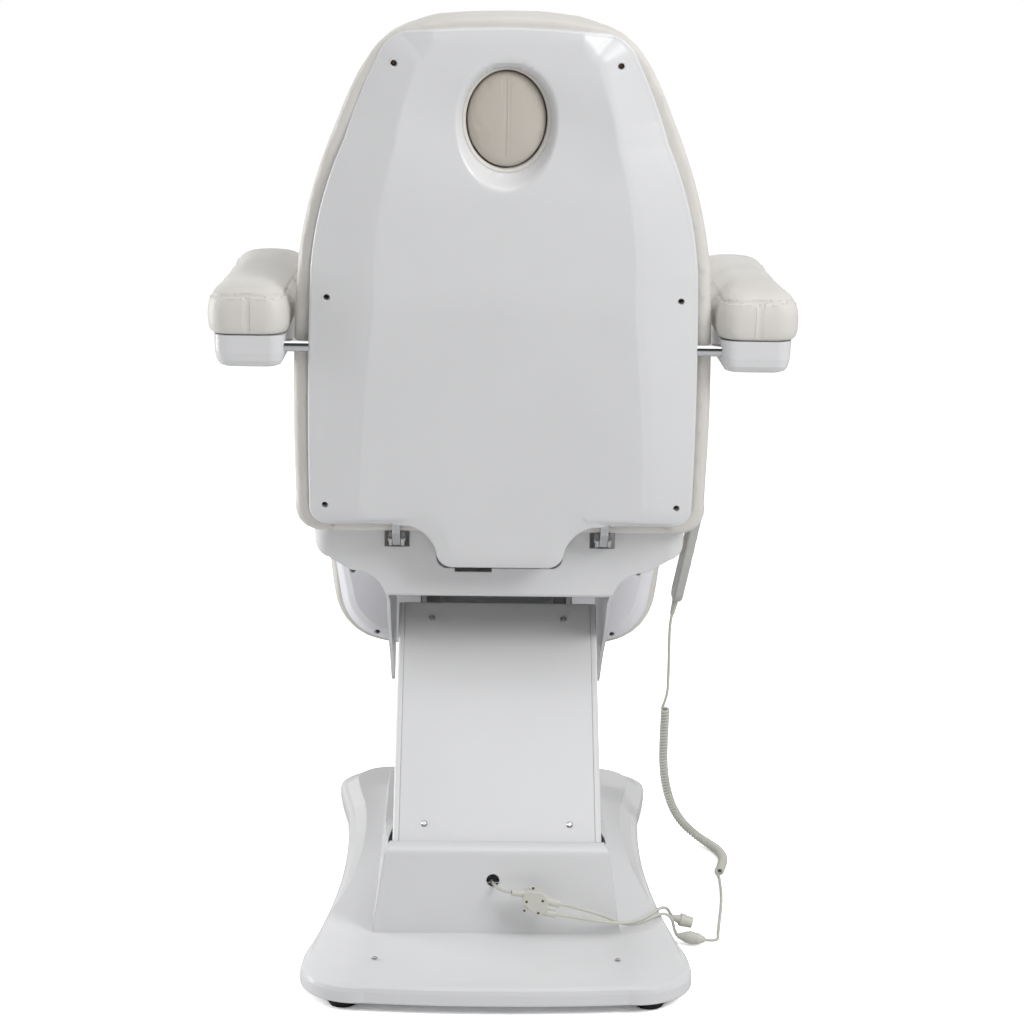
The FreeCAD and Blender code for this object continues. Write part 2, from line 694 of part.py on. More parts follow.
def seat_frame():
    """Rails under the seat board, ears for the arms, and brackets for back, leg rest and motors."""
    top = BOARD_TOP - BOARD_THICK
    outer = RAIL_INNER + RAIL_WIDTH
    rails = both_sides(box((RAIL_INNER, outer), (-345, 60), (RAIL_BOTTOM, top)))
    back_z, leg_z = BACK_MOTOR_FOOT[1], LEG_MOTOR_FOOT[1]
    front = box((-RAIL_INNER, RAIL_INNER), (-306, -282), (RAIL_BOTTOM + 8, top))
    rear = box((-RAIL_INNER, RAIL_INNER), (34, 40), (572, top))
    rear = rear.cut(rod((MOTOR_X, 0, back_z), (MOTOR_X, 60, back_z), 20))
    reach = TRAY_HALF - COVER_WALL - SEAT_GAP
    wings = both_sides(box((outer, reach), (-190, -160), (top - 7, top)))
    wings += both_sides(box((outer, reach), (-10, 15), (top - 7, top)))
    y, z = SEAT_PIVOT
    ear = [
        (y + 60, RAIL_BOTTOM),
        (y + 24, z),
        (y - TIE_BACK + 20, z - TIE_DROP - 8),
        ((y - TIE_BACK, z - TIE_DROP - 22), (y - TIE_BACK - 20, z - TIE_DROP - 8)),
        (y - 75, RAIL_BOTTOM),
    ]
    ears = both_sides(prism(ear, on_x(EAR_INNER), vec(EAR_THICK, 0, 0)))
    hinge = [
        (40, RAIL_BOTTOM + 8),
        (BACK_HINGE_Y, BACK_HINGE_Z - 12),
        ((BACK_HINGE_Y + 12, BACK_HINGE_Z), (BACK_HINGE_Y, BACK_HINGE_Z + 12)),
        (BACK_HINGE_Y - 10, BACK_HINGE_Z + 11),
        (96, top - 1),
        (40, top - 1),
    ]
    hinges = []
    for low in (BACK_HINGE_X - 12, BACK_HINGE_X + 7):
        hinges += both_sides(prism(hinge, on_x(low), vec(5, 0, 0)))
    hinge_block = both_sides(box((outer, BACK_HINGE_X + 12), (40, 60), (RAIL_BOTTOM + 8, top - 1)))
    leg_ear = [
        (-345, top),
        (-345, RAIL_BOTTOM),
        (LEG_HINGE_Y, LEG_HINGE_Z - 17),
        ((LEG_HINGE_Y - 15.5, LEG_HINGE_Z), (LEG_HINGE_Y, LEG_HINGE_Z + 15.5)),
    ]
    leg_ears = both_sides(prism(leg_ear, on_x(RAIL_INNER), vec(EAR_THICK, 0, 0)))
    back_foot = box((MOTOR_X - 14, MOTOR_X + 14), (-284, -252), (back_z - 9, back_z + 9))
    leg_foot = box((-MOTOR_X - 14, 14 - MOTOR_X), (14, 36), (leg_z - 8, leg_z + 8))
    frame = fuse(rails + [front, rear, back_foot, leg_foot] + wings + ears + hinges + hinge_block
                 + leg_ears)
    tie_y, tie_z = y - TIE_BACK, z - TIE_DROP
    slots = [
        box((MOTOR_X - 8.3, MOTOR_X + 8.3), (-276, -250), (back_z - 20, back_z + 20)),
        box((-MOTOR_X - 8.3, 8.3 - MOTOR_X), (10, 33.5), (leg_z - 20, leg_z + 20)),
    ]
    holes = [
        rod((-140, y, z), (140, y, z), PIN_RADIUS),
        rod((-140, tie_y, tie_z), (140, tie_y, tie_z), TIE_PIN_RADIUS),
        rod((-190, BACK_HINGE_Y, BACK_HINGE_Z), (190, BACK_HINGE_Y, BACK_HINGE_Z), 5),
        rod((-140, LEG_HINGE_Y, LEG_HINGE_Z), (140, LEG_HINGE_Y, LEG_HINGE_Z),
            LEG_TUBE_RADIUS + FIT),
        rod((MOTOR_X - 20, *BACK_MOTOR_FOOT), (MOTOR_X + 20, *BACK_MOTOR_FOOT), 5),
        rod((-MOTOR_X - 20, *LEG_MOTOR_FOOT), (20 - MOTOR_X, *LEG_MOTOR_FOOT), 5),
    ]
    return cut(frame, slots + holes)


def carrier_pins():
    y, z = SEAT_PIVOT
    half = EAR_INNER + EAR_THICK
    pins = [
        pivot_pin(y, z, PIN_RADIUS, half),
        pivot_pin(y - TIE_BACK, z - TIE_DROP, TIE_PIN_RADIUS, half),
    ]
    for x in (-BACK_HINGE_X, BACK_HINGE_X):
        pins.append(rod((x - 13.5, BACK_HINGE_Y, BACK_HINGE_Z), (x + 13.5, BACK_HINGE_Y, BACK_HINGE_Z),
                        5))
    pins.append(rod((MOTOR_X - 15, *BACK_MOTOR_FOOT), (MOTOR_X + 15, *BACK_MOTOR_FOOT), 5))
    pins.append(rod((-MOTOR_X - 15, *LEG_MOTOR_FOOT), (15 - MOTOR_X, *LEG_MOTOR_FOOT), 5))
    return pins


def seat_plan(inset):
    x = SEAT_HALF - inset
    return rounded((-x, x), (SEAT_FRONT_Y + inset, SEAT_REAR_Y - inset), 62 - min(inset, 20))


def seat_board():
    plan = rounded((-284, 284), (SEAT_FRONT_Y + 14, SEAT_REAR_Y - 2), 40)
    return prism(plan, on_z(BOARD_TOP - BOARD_THICK), vec(0, 0, BOARD_THICK))


def seat_cushion():
    """Crowned on top, and drawn in where the cover is pulled under the board."""
    height = SEAT_TOP - BOARD_TOP
    levels = [(0, 12), (0.08, 5), (0.25, 1), (0.5, 0), (0.7, 2), (0.84, 9), (0.93, 24), (0.98, 55),
              (1.0, 110)]
    return loft([wire(seat_plan(inset), on_z(BOARD_TOP + share * height)) for share, inset in levels])


def tray_section(inset):
    """The cover's cross section from the side: a wide tray that sweeps into two deep skirts."""
    side, skirt = TRAY_HALF - inset, SKIRT_HALF - (SKIRT_WALL if inset else 0)
    lift = inset * 0.8
    half = [
        (0, BOARD_TOP + inset),
        (side, BOARD_TOP + inset),
        (side, 628 + lift),
        ((side - 7, 613 + lift), (side - 23, 604 + lift)),
        (232, 583 + lift),
        ((190, 564 + lift), (skirt, 530)),
        (skirt, 300),
        (0, 300),
    ]
    return closed_by_mirror(half)


def pan_cover():
    """The seat's under-cover, open at the top and in the middle, with an arch at its rear."""
    front, rear = TRAY_FRONT_Y, TRAY_REAR_Y
    block = prism(tray_section(0), on_y(front), vec(0, rear - front, 0))
    side = [
        (rear, BOARD_TOP),
        (rear, 546),
        ((rear - 60, 480), (-60, 400)),
        (-148, 327),
        ((-168, 318), (-190, 326)),
        (-300, 500),
        ((-330, 560), (front, 590)),
        (front, BOARD_TOP),
    ]
    block = block.common(prism(side, on_x(-400), vec(800, 0, 0)))
    corners = [edge for edge in block.Edges if is_pan_corner(edge, rear, TRAY_HALF)]
    block = block.makeFillet(PAN_CORNER, corners)
    hollow = prism(tray_section(COVER_WALL), on_y(front + COVER_WALL),
                   vec(0, rear - front - 2 * COVER_WALL, 0))
    corners = [edge for edge in hollow.Edges
               if is_pan_corner(edge, rear - COVER_WALL, TRAY_HALF - COVER_WALL)]
    hollow = hollow.makeFillet(PAN_CORNER - COVER_WALL, corners)
    under = box((SKIRT_WALL - SKIRT_HALF, SKIRT_HALF - SKIRT_WALL), (front - 5, rear - COVER_WALL),
                (290, 598))
    arch = [(-158, 290), (158, 290), (158, 527), ((0, 534), (-158, 527))]
    slots = both_sides(box((BACK_HINGE_X - 19.5, BACK_HINGE_X + 19.5), (90, 130), (622, 700)))
    tools = [
        hollow,
        under,
        prism(arch, on_y(80), vec(0, 60, 0)),
        prism(tongue_notch(), on_y(rear - 20), vec(0, 40, 0)),
        box((12, 70), (90, 130), (582, 600)),
        box((-262, 262), (front - 5, front + 10), (570, 700)),
        box((-285, 285), (front - 5, front + 10), (BOARD_TOP - BOARD_THICK - SEAT_GAP, 700)),
    ]
    return cut(block, tools + slots).removeSplitter()


def tongue_notch():
    """The rear wall's notch, shaped like the shell's tongue that swings through it."""
    top = BACK_HINGE_Z + 60
    half = [
        (0, BACK_HINGE_Z - 52),
        (84, BACK_HINGE_Z - 52),
        ((94, BACK_HINGE_Z - 47), (99, BACK_HINGE_Z - 34)),
        ((112, BACK_HINGE_Z + 2), (145, BACK_HINGE_Z + 22)),
        (145, top),
        (0, top),
    ]
    return closed_by_mirror(half)


def is_pan_corner(edge, y, x):
    """The two upright edges of the tray, or of its hollow, at the rear."""
    size = edge.BoundBox
    upright = size.ZLength > 20 and size.XLength < 0.01 and size.YLength < 0.01
    return upright and abs(size.Center.y - y) < 0.01 and abs(abs(size.Center.x) - x) < 1.0


def handset_holder():
    """A small bent strap on the side of the tray, with an upturned lip."""
    y = (HANDSET_Y - 15, HANDSET_Y + 15)
    x = -TRAY_HALF
    plate = box((x - 2.5, x), y, (630, 650))
    shelf = box((x - 28, x), y, (630, 632.5))
    lip = box((x - 28, x - 25.5), y, (630, 640))
    return fuse([plate, shelf, lip])


# Back rest, drawn upright: X across, Y to the rear of the cushion's back, Z up from the hinge

def recline(shape):
    shape = shape.copy()
    shape.rotate(vec(0, 0, 0), vec(1, 0, 0), -BACK_RECLINE)
    shape.translate(vec(0, BACK_HINGE_Y, BACK_HINGE_Z))
    return shape


def back_outline(inset):
    half = [
        (0, 15.5),
        (288, 15.5),
        ((310, 25), (317, 62)),
        ((319, 210), (309, 440)),
        ((288, 545), (247, 655)),
        ((222, 714), (203, 748)),
        ((180, 777), (138, 797)),
        ((70, 808), (0, 811)),
    ]
    middle = 413.0

    def drawn_in(x, u):
        return (x * (1 - inset / 317), middle + (u - middle) * (1 - inset / 398))

    return closed_by_mirror(moved(half, drawn_in))


def face_hole(clearance, low, high):
    """The oval opening through the back, from y low to y high."""
    outline = oval(FACE_HALF_X + clearance, FACE_HALF_U + clearance, FACE_U)
    return prism(outline, on_y(low), vec(0, high - low, 0))


def back_cushion():
    levels = [(0, 8), (-6, 3), (-22, 0), (-52, 0), (-74, 4), (-88, 14), (-95, 32), (-99, 70),
              (-CUSHION_THICK, 130)]
    cushion = loft([wire(back_outline(inset), on_y(y)) for y, inset in levels])
    return recline(cushion.cut(face_hole(1.0, -CUSHION_THICK - 10, 10)))


def back_board():
    """Cut to fit inside the shell, and round its screw posts."""
    inset = SHELL_WALL + 1.5
    within = slope_outline(BACK_BOARD_THICK + inset)
    board = prism(shell_rim(inset), on_y(0), vec(0, BACK_BOARD_THICK, 0))
    board = board.common(prism(within, on_y(0), vec(0, BACK_BOARD_THICK, 0)))
    posts = [rod((side * x, -1, u), (side * x, 20, u), SHELL_POST_RADIUS + SEAT_GAP)
             for x, u, _ in SHELL_SCREWS for side in (-1, 1)]
    return recline(cut(board, posts + [face_hole(1.0, -10, 30)]))


def face_plug():
    """The oval insert that fills the face opening and lifts out to the front."""
    levels = [(-CUSHION_THICK - 1, 22), (-CUSHION_THICK + 3, 6), (-CUSHION_THICK + 12, 0), (6, 0),
              (13, 6), (16, 22)]
    wires = [wire(oval(FACE_HALF_X - draw, FACE_HALF_U - draw, FACE_U), on_y(y))
             for y, draw in levels]
    return recline(loft(wires))


def shell_rim(inset):
    half = [
        (0, 18),
        (256, 22),
        ((290, 31), (299, 66)),
        ((296, 250), (284, 440)),
        ((265, 538), (235, 628)),
        ((213, 694), (188, 750)),
        ((170, 775), (138, 787)),
        ((69, 792), (0, 794)),
    ]
    return closed_by_mirror(moved(half, lambda x, u: shrink(x, u, inset, 299, 388, 406)))


def shell_far():
    """The outline that the crease between slope and rear face is set out from."""
    half = [
        (0, 30),
        (168, 34),
        ((184, 42), (190, 76)),
        ((190, 250), (181, 425)),
        ((150, 530), (104, 622)),
        ((74, 680), (48, 714)),
        ((36, 727), (24, 733)),
        ((12, 735), (0, 736)),
    ]
    return closed_by_mirror(half)


def rear_depth(u):
    """How far behind the hinge the shell's rear face stands at a height."""
    if u < SHELL_CREST_U:
        share = (u - 30) / (SHELL_CREST_U - 30)
        return SHELL_FOOT_DEPTH + (SHELL_CREST - SHELL_FOOT_DEPTH) * share
    share = (u - SHELL_CREST_U) / (800 - SHELL_CREST_U)
    return SHELL_CREST + (SHELL_TOP_DEPTH - SHELL_CREST) * share


def lip_depth(u):
    """The straight lip's depth at a height."""
    share = (SHELL_LIP_END_U - u) / (SHELL_LIP_END_U - SHELL_LIP_U)
    return SHELL_LIP * min(1.0, max(0.0, share))


def on_slope(rim, far, depth):
    """Where the slope through the lip's edge and the crease is at a depth."""
    share = 0.7
    for _ in range(6):
        crease = (rim[0] + (far[0] - rim[0]) * share, rim[1] + (far[1] - rim[1]) * share)
        share = rear_depth(crease[1]) / SHELL_FAR
    lip = lip_depth(rim[1])
    back = (depth - lip) / (rear_depth(crease[1]) - lip)
    return (rim[0] + (crease[0] - rim[0]) * back, rim[1] + (crease[1] - rim[1]) * back)


def slope_outline(depth):
    """The outline of the shell's slopes at a depth, wider than its rim near the front."""
    out = []
    for one, two in zip(shell_rim(0), shell_far()):
        if isinstance(one[0], tuple):
            out.append((on_slope(one[0], two[0], depth), on_slope(one[1], two[1], depth)))
        else:
            out.append(on_slope(one, two, depth))
    return out


def shrink(x, u, inset, half_x, half_u, middle):
    return (x * (1 - inset / half_x), middle + (u - middle) * (1 - inset / half_u))


def shell_side_profile(inset):
    """How far the rear face stands out at each height: a crest, a thin top, a shallow foot."""
    return [
        (-1, -80),
        (TONGUE_DEPTH - inset, -80),
        (TONGUE_DEPTH - inset, -12),
        (SHELL_FOOT_DEPTH - inset, 30),
        (SHELL_CREST - inset, SHELL_CREST_U),
        (SHELL_TOP_DEPTH - inset, 800),
        (-1, 803),
    ]


def tongue_outline(inset):
    half = [
        (0, inset - 33),
        (72 - inset, inset - 33),
        ((83 - inset, inset - 28), (94 - inset, inset - 13)),
        ((107 - inset, 8), (140 - inset, 22)),
        (140 - inset, 60),
        (0, 60),
    ]
    return closed_by_mirror(half)


def shell_block(inset):
    """The shell as a solid, drawn in by inset on every side."""
    slopes = loft([wire(slope_outline(0), on_y(-inset)),
                   wire(slope_outline(SHELL_FAR), on_y(SHELL_FAR - inset))])
    hull = prism(shell_rim(inset), on_y(0), vec(0, SHELL_FAR, 0)).common(slopes)
    tongue = prism(tongue_outline(inset), on_y(-1 if inset else 4), vec(0, SHELL_FAR, 0))
    limit = prism(shell_side_profile(inset), on_x(-400), vec(800, 0, 0))
    return hull.fuse(tongue).common(limit)


# Across, up, and how deep in the shell each screw's head sits
SHELL_SCREWS = [(164, 741, 5), (263, 399, 26), (270, 69, 24)]


def back_shell():
    """The moulded rear shell, with screw pockets and a funnel round the face opening."""
    outer = shell_block(0)
    shell = outer.cut(shell_block(SHELL_WALL))
    bosses = []
    pockets = []
    for x, u, seat in SHELL_SCREWS:
        for side in (-1, 1):
            bosses.append(rod((side * x, 0, u), (side * x, 60, u), SHELL_POST_RADIUS))
            pockets.append(rod((side * x, seat, u), (side * x, 70, u), 4.6))
    ring = prism(oval(FACE_HALF_X + 16, FACE_HALF_U + 16, FACE_U), on_y(BACK_BOARD_THICK),
                 vec(0, 60, 0))
    posts = Part.makeCompound(bosses + [ring]).common(outer)
    shell = fuse([shell] + posts.Solids)
    funnel = loft([wire(oval(FACE_HALF_X + 2, FACE_HALF_U + 2, FACE_U), on_y(10)),
                   wire(oval(FACE_HALF_X + 4, FACE_HALF_U + 4, FACE_U), on_y(22)),
                   wire(oval(FACE_HALF_X + 22, FACE_HALF_U + 26, FACE_U), on_y(50))])
    rod_hole = rod((-330, ROD_BEHIND, ROD_U), (330, ROD_BEHIND, ROD_U), ROD_RADIUS + 1)
    open_front = box((-400, 400), (-20, 0), (-100, 900))
    slots = both_sides(box((BACK_HINGE_X - 8, BACK_HINGE_X + 8), (-1, 39), (8, 37)))
    slots.append(box((MOTOR_X - 17, MOTOR_X + 17), (-1, TONGUE_DEPTH - SHELL_WALL), (-40, -25)))
    tools = pockets + slots + [funnel, face_hole(1.0, -10, 24), rod_hole, open_front]
    return recline(cut(shell, tools))


def shell_screws():
    heads = []
    for x, u, seat in SHELL_SCREWS:
        for side in (-1, 1):
            heads.append(recline(screw_head((side * x, seat, u), (0, 1, 0), 4.2)))
    return heads


def back_frame():
    """Two posts and cross bars behind the board, hinge tongues, the rod's clamps and the lever."""
    rear, depth = BACK_BOARD_THICK, 25.0
    posts = both_sides(box((148, 173), (rear, rear + depth), (38, 555)))
    bars = [box((-148, 148), (rear, rear + depth), (u - 12, u + 12)) for u in (50, 355, 543)]
    tongue = [
        (rear + depth, 60),
        (rear + depth, 22),
        (8, -8),
        ((-8, -8), (-8, 8)),
        (rear, 21),
        (rear, 60),
    ]
    tongues = both_sides(prism(tongue, on_x(BACK_HINGE_X - 6), vec(12, 0, 0)))
    clamps = both_sides(box((130, 160), (rear, ROD_BEHIND + 15), (ROD_U - 16, ROD_U + 16)))
    near = BACK_LEVER_RADIUS * math.cos(math.radians(BACK_TRAVEL / 2))
    ends = slotted_pair(near, BACK_LEVER_RADIUS, SMALL_PIN_RADIUS + 1.5, 3, 6, SMALL_GAP, 5)
    levers = []
    for end, low in zip(ends, (-SMALL_GAP - 5, SMALL_GAP)):
        end = spin_x(end, BACK_LEVER_ANGLE + BACK_RECLINE)
        end.translate(vec(MOTOR_X, 0, 0))
        neck = [(rear + 0.5, 44), (rear + 20, 44), (rear + 14, 10), (8, -12), (-2, -4), (rear + 0.5, 14)]
        levers += [end, prism(neck, on_x(MOTOR_X + low), vec(5, 0, 0))]
    frame = fuse(posts + bars + tongues + clamps + levers)
    frame = cut(frame, [
        rod((-190, 0, 0), (190, 0, 0), 5 + FIT),
        rod((-200, ROD_BEHIND, ROD_U), (200, ROD_BEHIND, ROD_U), ROD_RADIUS),
    ])
    return recline(frame)


def armrest_rod():
    reach = ARMREST_OUTER - 18
    return recline(rod((-reach, ROD_BEHIND, ROD_U), (reach, ROD_BEHIND, ROD_U), ROD_RADIUS))


def rod_place():
    """The chrome rod's axis in the row's Y and Z."""
    tilt = math.radians(BACK_RECLINE)
    y = BACK_HINGE_Y + ROD_BEHIND * math.cos(tilt) + ROD_U * math.sin(tilt)
    z = BACK_HINGE_Z - ROD_BEHIND * math.sin(tilt) + ROD_U * math.cos(tilt)
    return (y, z)


# Arm rests

def armrest_plan(inset):
    y = (ARMREST_REAR_Y - ARMREST_LENGTH + inset, ARMREST_REAR_Y - inset)
    return rounded((ARMREST_INNER + inset, ARMREST_OUTER - inset), y, 26 - min(inset, 12) * 0.8)


def armrest_pad():
    height = ARMREST_TOP - ARMREST_SEAM
    levels = [(0, 3), (0.12, 0.5), (0.35, 0), (0.68, 0), (0.84, 3), (0.94, 10), (1.0, 24)]
    return loft([wire(armrest_plan(inset), on_z(ARMREST_SEAM + share * height))
                 for share, inset in levels])


def armrest_shell():
    height = ARMREST_SEAM - ARMREST_BOTTOM
    levels = [(0, 18), (0.06, 12), (0.2, 7.5), (0.45, 5), (1.0, 4)]
    shell = loft([wire(armrest_plan(inset), on_z(ARMREST_BOTTOM + share * height))
                  for share, inset in levels])
    y, z = rod_place()
    end = ARMREST_OUTER - 18 + 0.5
    return shell.cut(rod((ARMREST_INNER - 20, y, z), (end, y, z), ROD_RADIUS + FIT))


# Leg rest

def leg_outline(inset, top_z, corner=24):
    """One half of the leg rest from behind: straight inside, tapered and rounded outside."""
    inner = LEG_GAP_HALF + inset
    bottom = LEG_BOTTOM_Z + inset
    return [
        (inner, top_z),
        (inner, bottom + 78),
        ((inner + 14, bottom + 28), (inner + 62, bottom + 8)),
        ((152 - inset * 0.3, bottom), (222 - inset * 0.6, bottom + 12)),
        ((261 - inset * 0.8, bottom + 38), (284 - inset, bottom + 84)),
        (300 - inset, top_z - corner),
        ((300 - inset - corner * 0.29, top_z - corner * 0.29), (300 - inset - corner, top_z)),
    ]


def leg_cushion():
    depth = LEG_FRONT_Y - LEG_BOARD_Y
    top = LEG_HINGE_Z - LEG_START
    levels = [(0, 6), (0.1, 2), (0.35, 0), (0.6, 1), (0.8, 6), (0.92, 18), (1.0, 46)]
    return loft([wire(leg_outline(inset, top - inset), on_y(LEG_BOARD_Y + share * depth))
                 for share, inset in levels])


def leg_board():
    top = LEG_HINGE_Z - LEG_START - 4
    board = prism(leg_outline(12, top), on_y(LEG_BOARD_Y), vec(0, LEG_BOARD_THICK, 0))
    start, end = (LEG_SWIVEL_X, LEG_BOARD_Y - 1, LEG_SWIVEL_Z), (LEG_SWIVEL_X, -370, LEG_SWIVEL_Z)
    return board.cut(rod(start, end, 6 + FIT))


def leg_shell():
    rim = LEG_BOARD_Y + LEG_BOARD_THICK
    top = LEG_SHELL_TOP
    outer = loft([wire(leg_outline(8, top, 3), on_y(LEG_BOARD_Y)),
                  wire(leg_outline(9.5, top, 3), on_y(rim + 8)),
                  wire(leg_outline(20, top - 3, 3), on_y(LEG_SHELL_REAR_Y - 5)),
                  wire(leg_outline(30, top - 8, 3), on_y(LEG_SHELL_REAR_Y))])
    hollow = loft([wire(leg_outline(12, top - 3, 3), on_y(LEG_BOARD_Y - 1)),
                   wire(leg_outline(13, top - 4, 3), on_y(rim + 8)),
                   wire(leg_outline(28, top - 10, 3), on_y(LEG_SHELL_REAR_Y - SHELL_WALL))])
    shell = outer.cut(hollow)
    bosses = [rod((x, rim, z), (x, LEG_SHELL_REAR_Y - 1, z), 7).common(outer)
              for x, z in LEG_SCREWS]
    shell = fuse([shell] + bosses)
    board_space = prism(leg_outline(12, LEG_HINGE_Z - LEG_START - 4), on_y(LEG_BOARD_Y - 1),
                        vec(0, LEG_BOARD_THICK + 1, 0))
    pockets = [rod((x, rim + 4, z), (x, rim + 40, z), 4.4) for x, z in LEG_SCREWS]
    return cut(shell, pockets + [board_space])


LEG_SCREWS = [(254, 461), (210, 346), (60, 366), (60, 480)]


def leg_screws():
    rim = LEG_BOARD_Y + LEG_BOARD_THICK
    return [screw_head((x, rim + 4, z), (0, 1, 0), 4.0) for x, z in LEG_SCREWS]


def leg_frame():
    """The hinge tube, two swivel plates and the slotted lever, all one weldment."""
    y, z = LEG_HINGE_Y, LEG_HINGE_Z
    tube = pipe((-250, y, z), (250, y, z), LEG_TUBE_RADIUS, LEG_TUBE_RADIUS - 3)
    behind = LEG_BOARD_Y + LEG_BOARD_THICK + SEAT_GAP
    inside = rod((-260, y, z), (260, y, z), LEG_TUBE_RADIUS - 1)
    plate = box((LEG_SWIVEL_X - 18, LEG_SWIVEL_X + 18), (behind, behind + 5),
                (LEG_SWIVEL_Z - 24, z)).cut(inside)
    at = (LEG_SWIVEL_X, LEG_SWIVEL_Z)
    pin = rod((at[0], LEG_BOARD_Y + 0.5, at[1]), (at[0], behind + 6, at[1]), 6)
    head = rod((at[0], behind + 5, at[1]), (at[0], behind + 11, at[1]), 11)
    near = LEG_LEVER_RADIUS * math.cos(math.radians(LEG_TRAVEL / 2))
    levers = []
    for lever in slotted_pair(near, LEG_LEVER_RADIUS, SMALL_PIN_RADIUS + 3.4, 5, 0, SMALL_GAP, 5):
        lever = spin_x(lever, LEG_LEVER_ANGLE)
        lever.translate(vec(-MOTOR_X, y, z))
        levers.append(lever.cut(inside))
    return fuse([tube] + both_sides(fuse([plate, pin, head])) + levers)


# Handset, drawn upright with its front to -X and then tilted

def tilt_handset(shape):
    shape = shape.copy()
    shape.rotate(vec(0, 0, 0), vec(0, 1, 0), -HANDSET_TILT)
    shape.translate(vec(HANDSET_X, HANDSET_Y, HANDSET_Z))
    return shape


def button_places():
    """Three rows of two."""
    return [(y, z) for z in (68.0, 92.0, 116.0) for y in (-12.0, 12.0)]


def handset_body():
    half, wide, tall = HANDSET_THICK / 2, HANDSET_WIDTH / 2, HANDSET_LENGTH
    levels = [(-half, 3), (2 - half, 0.6), (half - 3, 0), (half - 0.8, 1.6), (half, 4)]
    wires = []
    for x, inset in levels:
        outline = rounded((inset - wide, wide - inset), (inset, tall - inset), 15)
        wires.append(wire(outline, on_x(x)))
    body = loft(wires)
    wells = [rod((-half - 1, y, z), (3 - half, y, z), BUTTON_RADIUS + 0.3) for y, z in button_places()]
    return tilt_handset(cut(body, wells))


def handset_hook():
    """The hook on the handset's back, level, so that it drops over the holder's lip."""
    y = (HANDSET_Y - 12, HANDSET_Y + 12)
    lip = -TRAY_HALF - 28
    back = box((lip - 14, lip - 11.5), y, (602, 644.5))
    over = box((lip - 14, lip + 5.5), y, (640.3, 644.5))
    down = box((lip + 3, lip + 5.5), y, (634, 642))
    return fuse([back, over, down])


def handset_button(y, z):
    half = HANDSET_THICK / 2
    cap = rod((3 - half - BUTTON_TRAVEL - SEAT_GAP, y, z), (-half - 1.5, y, z), BUTTON_RADIUS)
    return tilt_handset(cap)


def strain_relief():
    """A tapered, ribbed sleeve where the cord leaves the handset."""
    cone = Part.makeCone(3.4, 5.2, 28, vec(0, 0, -28))
    ribs = [Part.makeCylinder(3.8 + 0.25 * index, 2.2, vec(0, 0, -26 + 4.6 * index))
            for index in range(6)]
    return tilt_handset(fuse([cone] + ribs))


# Cables

def route_edges(points):
    """Straight runs joined by tangent arcs, as large as the two runs allow."""
    points = [vec(*point) for point in points]
    here, edges, radii = points[0], [], []
    for index in range(1, len(points) - 1):
        before, corner, after = points[index - 1], points[index], points[index + 1]
        run_in, run_out = corner.sub(before), after.sub(corner)
        turn = run_in.getAngle(run_out)
        reach = 0.45 * min(run_in.Length, run_out.Length)
        start = corner.sub(FreeCAD.Vector(run_in).normalize().multiply(reach))
        end = corner.add(FreeCAD.Vector(run_out).normalize().multiply(reach))
        chord = start.add(end).multiply(0.5)
        radius = reach / math.tan(turn / 2)
        inward = chord.sub(corner)
        depth = radius / math.cos(turn / 2) - radius
        middle = corner.add(inward.normalize().multiply(depth))
        edges.append(Part.LineSegment(here, start).toShape())
        edges.append(Part.Arc(start, middle, end).toShape())
        radii.append(round(radius, 1))
        here = end
    edges.append(Part.LineSegment(here, points[-1]).toShape())
    return edges, radii


def cable(name, points, radius):
    """A round tube along the route. The section times the length is printed beside the volume."""
    edges, radii = route_edges(points)
    path = Part.Wire(edges)
    first = vec(*points[1]).sub(vec(*points[0]))
    ring = Part.Wire(Part.makeCircle(radius, vec(*points[0]), first))
    tube = path.makePipeShell([ring], True, False)
    share = tube.Volume / (math.pi * radius ** 2 * path.Length)
    print(name, "length", round(path.Length), "volume share", round(share, 4), "radii", radii)
    return tube


BLOCK_AT = (-58.8, 352.5, 132.0)
LEAD_ROUTE = [(8, 302, 142.6), (5, 318, 142.6), (-2, 333, 142.9), (-11.5, 345.5, 143.6),
              (-22.3, 352.5, 144.6)]
BRANCH_A = [(-95.4, 352.5, 126.6), (-106, 352.5, 124.2), (-124, 352, 119.5), (-148, 349, 111.5),
            (-170, 341.5, 100.5), (-189, 331.5, 87), (-206, 314.5, 77.5), (-222, 296, 73),
            (-237, 279, 71.5), (-251, 263, 71), (-264, 248, 67.8), (-274.5, 236.5, 58.5),
            (-280, 229, 47), (-282.5, 222.5, 35.5), (-285, 217.3, 25), (-290, 213.5, 15.5)]
BRANCH_B = [(-89.8, 352.5, 109.5), (-102, 352.5, 107.1), (-124, 353, 104), (-150, 353, 100),
            (-178, 347.5, 94), (-203, 330, 87), (-222, 303, 80), (-240, 273, 76.5),
            (-254, 246, 73.5), (-265.5, 224, 68), (-273.5, 209.5, 59), (-278, 201.5, 48.5),
            (-283, 198.5, 40)]
TAIL_ROUTE = [(-334, 219.5, 11), (-342.9, 220.9, 10.6), (-351, 217, 9.8), (-355.6, 208.7, 8.6),
              (-357, 194.7, 6.8), (-359.5, 173, 4.6), (-364, 142, 3.2), (-370, 102, 2.8),
              (-376.5, 57, 2.7), (-381.5, 12, 2.8), (-383.5, -26, 3.6), (-384.5, -49, 5.6)]
LEAD_DOWN = [(-297.8, -180.2, 398.3), (-298.2, -180.8, 362.9), (-298.5, -181.4, 322.5),
             (-298, -182.4, 290.1)]
CURL_ROUTE = [(-295.3, -186, 262.9), (-294.3, -190, 210.3), (-295, -194, 159.2), (-301.5, -199, 115),
              (-313.9, -204, 75.7), (-333.3, -209, 44), (-357.6, -209, 22), (-381, -195, 10.5),
              (-396, -169, 8.6), (-400, -134, 8.6), (-394, -100, 8.6), (-386, -72, 8.6)]


